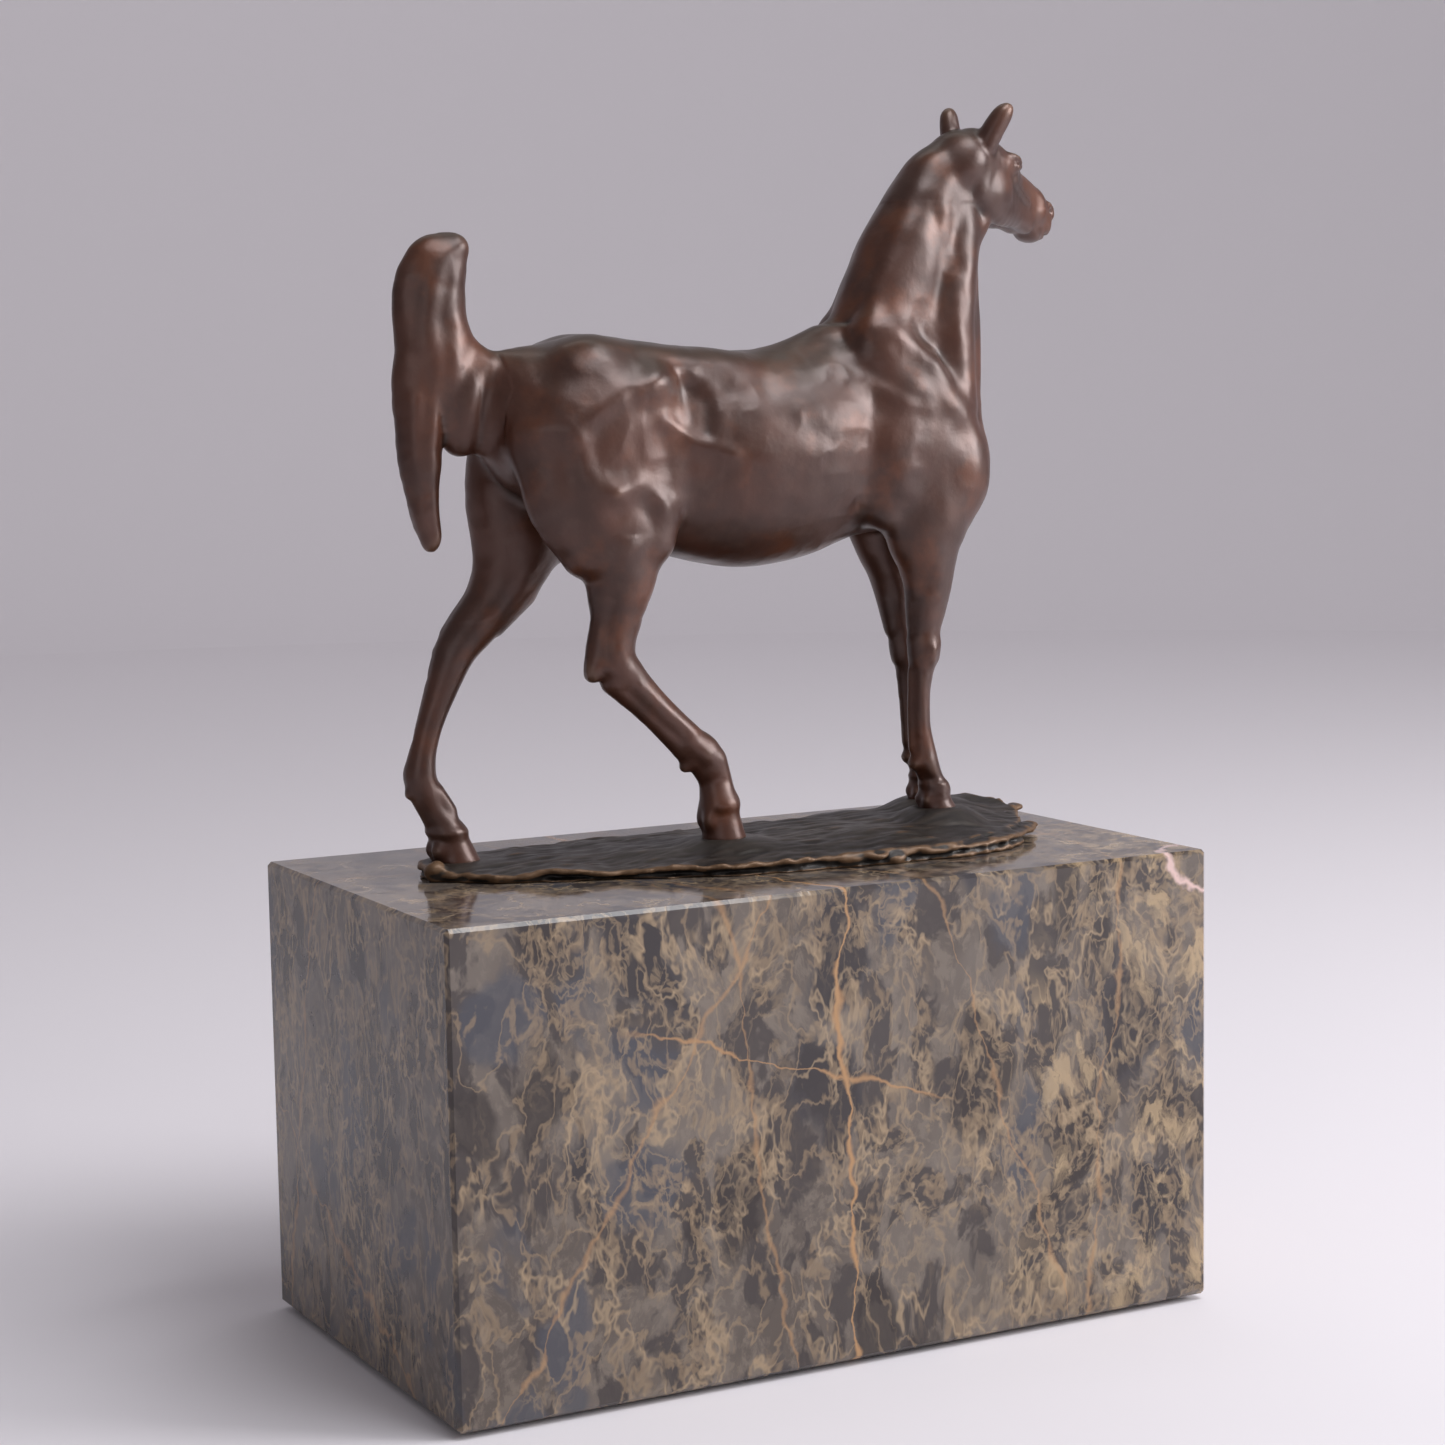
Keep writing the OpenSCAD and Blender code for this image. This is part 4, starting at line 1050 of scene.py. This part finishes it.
# Seams that run through the block: direction across the seam, distance of the
# seam from the origin, half width (metres), colour strength, and lowest and highest X.
SEAMS = [
    ((1, 0.2, 0.03), -0.0112, 0.0011, 1.0, -0.1, 0.1),
    ((1, 0.1, 0.15), -0.0222, 0.0009, 0.5, -0.1, 0.1),
    ((0.3, -0.1, 1), 0.0735, 0.0009, 0.8, -0.062, 0.03),
    ((1, -0.15, -0.1), 0.0735, 0.0010, 0.45, -0.1, 0.1),
    ((1, 0.3, 0.35), 0.0440, 0.0007, 0.5, -0.1, 0.1),
    ((0.8, 0.3, -0.5), -0.0900, 0.0008, 0.5, -0.1, 0.0),
    ((0.2, 1, 0.25), 0.0310, 0.0009, 0.6, -0.1, 0.1),
]

CHIP_RADIUS = 0.011       # the pale band round the block's front right top corner
CHIP_WIDTH = 0.0016


def seam_lines(s, where):
    """The long seams, as one mask: thin warped planes through the stone."""
    total = 0.0
    width_noise = s.span(s.noise(75, 3), 0.35, 0.68, 0.3, 1.7)
    place = s.node("ShaderNodeSeparateXYZ")
    s.link(s.place, place.inputs[0])
    for across, offset, width, strength, low, high in SEAMS:
        along = s.node("ShaderNodeVectorMath", operation="DOT_PRODUCT")
        s.link(where, along.inputs[0])
        along.inputs[1].default_value = across
        away = s.maths("ABSOLUTE", s.maths("SUBTRACT", along.outputs["Value"], offset))
        line = s.span(away, s.maths("MULTIPLY", width_noise, width), 0.0, 0.0, strength)
        if low > -0.1:
            line = s.maths("MULTIPLY", line, s.span(place.outputs["X"], low, low + 0.015))
        if high < 0.1:
            line = s.maths("MULTIPLY", line, s.span(place.outputs["X"], high, high - 0.015))
        total = s.maths("MAXIMUM", line, total)
    return total


def marble_material():
    """Dark brown marble: charcoal blotches in taupe, parted by wisps and seams of tan."""
    s = Shader("brown_marble")
    tall = s.scaled((1.0, 1.0, 0.6))
    bent = s.moved(0.012, 45, 3, tall)
    wild = s.moved(0.006, 150, 4, bent)
    place = s.node("ShaderNodeSeparateXYZ")
    s.link(s.place, place.inputs[0])
    drift = s.span(s.noise(30, 2), 0.3, 0.7, -0.03, 0.03)
    tan_end = s.span(s.maths("ADD", place.outputs["X"], drift), 0.05, 0.085)
    broad = s.span(s.noise(34, 4, where=bent), 0.35, 0.65)
    specks = s.span(s.noise(300, 5, 0.65, wild), 0.45, 0.62, 0, 0.5)
    blots = s.span(s.noise(85, 4, 0.55, where=wild), 0.5, 0.56, 0, 0.85)
    colour = s.mix(broad, srgb(86, 77, 71), srgb(108, 99, 92))
    colour = s.mix(specks, colour, srgb(126, 115, 104))
    colour = s.mix(blots, colour, srgb(60, 54, 54))
    patch = s.voronoi(60, where=wild, output="Color")
    pick = s.node("ShaderNodeSeparateColor")
    s.link(patch, pick.inputs[0])
    soft = s.span(s.voronoi(60, "DISTANCE_TO_EDGE", where=wild), 0.04, 0.2)
    grey = s.maths("MULTIPLY", s.span(pick.outputs[0], 0.55, 0.62, 0, 0.75), soft)
    dark = s.maths("MULTIPLY", s.span(pick.outputs[1], 0.64, 0.7, 0, 0.8), soft)
    colour = s.mix(grey, colour, srgb(70, 72, 81))
    colour = s.mix(dark, colour, srgb(48, 41, 40))
    busy = s.maths("MAXIMUM", s.span(s.noise(26, 3, where=bent), 0.45, 0.6), tan_end)
    thin = ridge_lines(s, wild, 100, 0.035, 3)
    wisp = s.maths("MULTIPLY", ridge_lines(s, bent, 62, 0.028, 4, 0.6),
                   s.span(s.noise(55, 2), 0.42, 0.56))
    fine = s.maths("MULTIPLY", ridge_lines(s, wild, 240, 0.06, 3), busy)
    seams = seam_lines(s, s.moved(0.012, 50, 3, s.moved(0.002, 240, 3)))
    colour = s.mix(s.maths("MULTIPLY", thin, 0.5), colour, srgb(150, 128, 102))
    colour = s.mix(s.maths("MULTIPLY", fine, 0.4), colour, srgb(158, 136, 108))
    colour = s.mix(s.maths("MULTIPLY", wisp, 0.6), colour, srgb(166, 144, 116))
    colour = s.mix(seams, colour, srgb(170, 132, 94))
    glow = s.maths("MULTIPLY", s.span(s.noise(120, 5, 0.6, wild), 0.52, 0.62), tan_end)
    colour = s.mix(s.maths("MULTIPLY", glow, 0.6), colour, srgb(182, 158, 124))
    corner = s.node("ShaderNodeVectorMath", operation="DISTANCE")
    s.link(s.moved(0.01, 130, 3), corner.inputs[0])
    corner.inputs[1].default_value = (MARBLE_HIGH.x, MARBLE_LOW.y, MARBLE_HIGH.z)
    away = s.maths("ABSOLUTE", s.maths("SUBTRACT", corner.outputs["Value"], CHIP_RADIUS))
    ring = s.span(away, CHIP_WIDTH, 0.0)
    colour = s.mix(ring, colour, srgb(206, 178, 172))
    s.set(Base_Color=colour, Roughness=s.span(wisp, 0, 1, 0.1, 0.16))
    s.surface.inputs["Specular IOR Level"].default_value = 0.45
    s.bump(s.maths("ADD", wisp, seams), 0.00004, 0.25)
    return s.material


def steel_material():
    s = Shader("zinc_plated_steel")
    spangle = s.noise(900, 4)
    s.set(Base_Color=s.mix(s.span(spangle, 0.4, 0.65), srgb(150, 152, 155), srgb(186, 186, 184)),
          Metallic=1.0, Roughness=s.span(s.noise(350, 3), 0.3, 0.7, 0.28, 0.42))
    s.bump(s.noise(1, 3, where=s.scaled((300, 300, 4000))), 0.00003, 0.3)
    return s.material


def pin_material():
    s = Shader("bronze_pin_stock")
    s.set(Base_Color=s.mix(s.noise(500, 3), srgb(140, 96, 58), srgb(172, 124, 78)),
          Metallic=1.0, Roughness=s.span(s.noise(800, 3), 0.3, 0.7, 0.25, 0.4))
    return s.material


def felt_material():
    s = Shader("green_felt")
    fibre = s.noise(1500, 6, 0.7, warp=1.5)
    s.set(Base_Color=s.mix(s.span(fibre, 0.35, 0.65), srgb(28, 40, 32), srgb(62, 78, 64)),
          Roughness=0.95)
    s.surface.inputs["Sheen Weight"].default_value = 0.5
    s.bump(fibre, 0.0003, 0.8)
    return s.material


def dress_cad(materials):
    """Gives every CAD node that stays in view its finished material."""
    for obj in bpy.data.objects:
        name = obj.name
        for start, material in materials.items():
            if name.startswith(start):
                obj.data.materials.clear()
                obj.data.materials.append(material)


# --------------------------------------------------------- floor and lights
# The photograph's viewing angle, as the camera's own axes in the row frame.

CAMERA_AZIMUTH = -27.86
CAMERA_ELEVATION = 6.335
CAMERA_ROLL = -0.985
CAMERA_DISTANCE = 0.751585
CAMERA_SHIFT = (-0.002335, 0.144317)      # sideways and upwards, in metres
CAMERA_LENS = 75.4

FLOOR_HALF = 8.0          # metres from the object to the floor's edge
WALL_RADIUS = 3.2
WALL_HEIGHT = 3.0
WALL_SINK = 0.002         # how far the sweep starts below the floor
WALL_BEND = 1.2
WALL_SPREAD = 75          # degrees to each side of the camera's line of sight


def make_floor():
    """A pale floor that sweeps up into a low curved wall behind the object."""
    bend_start = WALL_RADIUS - WALL_BEND
    profile = [(bend_start + WALL_BEND * math.sin(a), WALL_BEND * (1 - math.cos(a)) - WALL_SINK)
               for a in np.linspace(0, math.pi / 2, 18)]
    profile.append((WALL_RADIUS, WALL_HEIGHT))
    middle = math.radians(90 + CAMERA_AZIMUTH)
    turns = np.linspace(-1, 1, 49) * math.radians(WALL_SPREAD) + middle
    verts = [(r * math.cos(t), r * math.sin(t), z) for t in turns for r, z in profile]
    n = len(profile)
    faces = [(i * n + k, i * n + k + 1, (i + 1) * n + k + 1, (i + 1) * n + k)
             for i in range(len(turns) - 1) for k in range(n - 1)]
    h = FLOOR_HALF
    base = len(verts)
    verts += [(-h, -h, 0), (h, -h, 0), (h, h, 0), (-h, h, 0)]
    faces.append((base, base + 1, base + 2, base + 3))
    mesh = bpy.data.meshes.new("floor")
    mesh.from_pydata(verts, [], faces)
    mesh.polygons.foreach_set("use_smooth", [True] * len(mesh.polygons))
    floor = bpy.data.objects.new("floor", mesh)
    bpy.context.scene.collection.objects.link(floor)
    s = Shader("pale_floor")
    s.set(Base_Color=srgb(226, 222, 226), Roughness=0.75)
    mesh.materials.append(s.material)


def softbox(name, spot, aim, size, watts, tint):
    data = bpy.data.lights.new(name, "AREA")
    data.shape = "RECTANGLE"
    data.size, data.size_y = size
    data.energy = watts
    data.color = tint
    lamp = bpy.data.objects.new(name, data)
    lamp.location = spot
    lamp.rotation_mode = "QUATERNION"
    lamp.rotation_quaternion = (Vector(aim) - Vector(spot)).to_track_quat("-Z", "Y")
    bpy.context.scene.collection.objects.link(lamp)


# Each lamp: its place, where it points, its size, its watts and its tint.
SUBJECT = (0.02, 0, 0.2)
LAMPS = {
    "window": ((1.2, -0.78, 0.62), SUBJECT, (0.7, 0.7), 19, (1.0, 0.985, 1.0)),
    "sky": ((0.32, -0.55, 1.25), SUBJECT, (0.8, 0.6), 11, (0.96, 0.97, 1.0)),
    "fill": ((-1.0, -1.6, 0.5), SUBJECT, (1.0, 0.9), 2.5, (0.97, 0.96, 1.0)),
    "wall_wash": ((0.4, 1.0, 2.6), (1.4, 2.6, 0.8), (2.0, 0.8), 14, (1.0, 0.98, 1.0)),
}
WORLD_STRENGTH = 0.28


def make_lights():
    for name, facts in LAMPS.items():
        softbox(name, *facts)
    world = bpy.data.worlds.new("studio")
    world.use_nodes = True
    glow = world.node_tree.nodes["Background"]
    glow.inputs["Color"].default_value = srgb(236, 232, 238)
    glow.inputs["Strength"].default_value = WORLD_STRENGTH
    bpy.context.scene.world = world


# ------------------------------------------------------------------ camera
def make_camera():
    data = bpy.data.cameras.new("camera")
    data.lens = CAMERA_LENS
    data.sensor_width = 36
    data.clip_start, data.clip_end = 0.01, 50
    camera = bpy.data.objects.new("camera", data)
    a, e = math.radians(CAMERA_AZIMUTH), math.radians(CAMERA_ELEVATION)
    back = Vector((math.sin(a) * math.cos(e), -math.cos(a) * math.cos(e), math.sin(e)))
    right = Vector((0, 0, 1)).cross(back).normalized()
    up = back.cross(right)
    spot = back * CAMERA_DISTANCE + right * CAMERA_SHIFT[0] + up * CAMERA_SHIFT[1]
    axes = Matrix((right, up, back)).transposed()
    turn = axes @ Matrix.Rotation(math.radians(CAMERA_ROLL), 3, "Z")
    camera.matrix_world = Matrix.Translation(spot) @ turn.to_4x4()
    bpy.context.scene.collection.objects.link(camera)
    bpy.context.scene.camera = camera


# ------------------------------------------------------------------- scene

make_camera()
make_floor()
make_lights()
cast_horse(bronze_material())
cast_ground(ground_material())
steel = steel_material()
dress_cad({"marble_base": marble_material(), "hoof_screw": steel, "mounting_stud": steel,
           "washer": steel, "nut": steel, "leg_pin": pin_material(),
           "tail_pin": pin_material(), "felt_pad": felt_material()})
bpy.context.scene.view_settings.view_transform = "Standard"
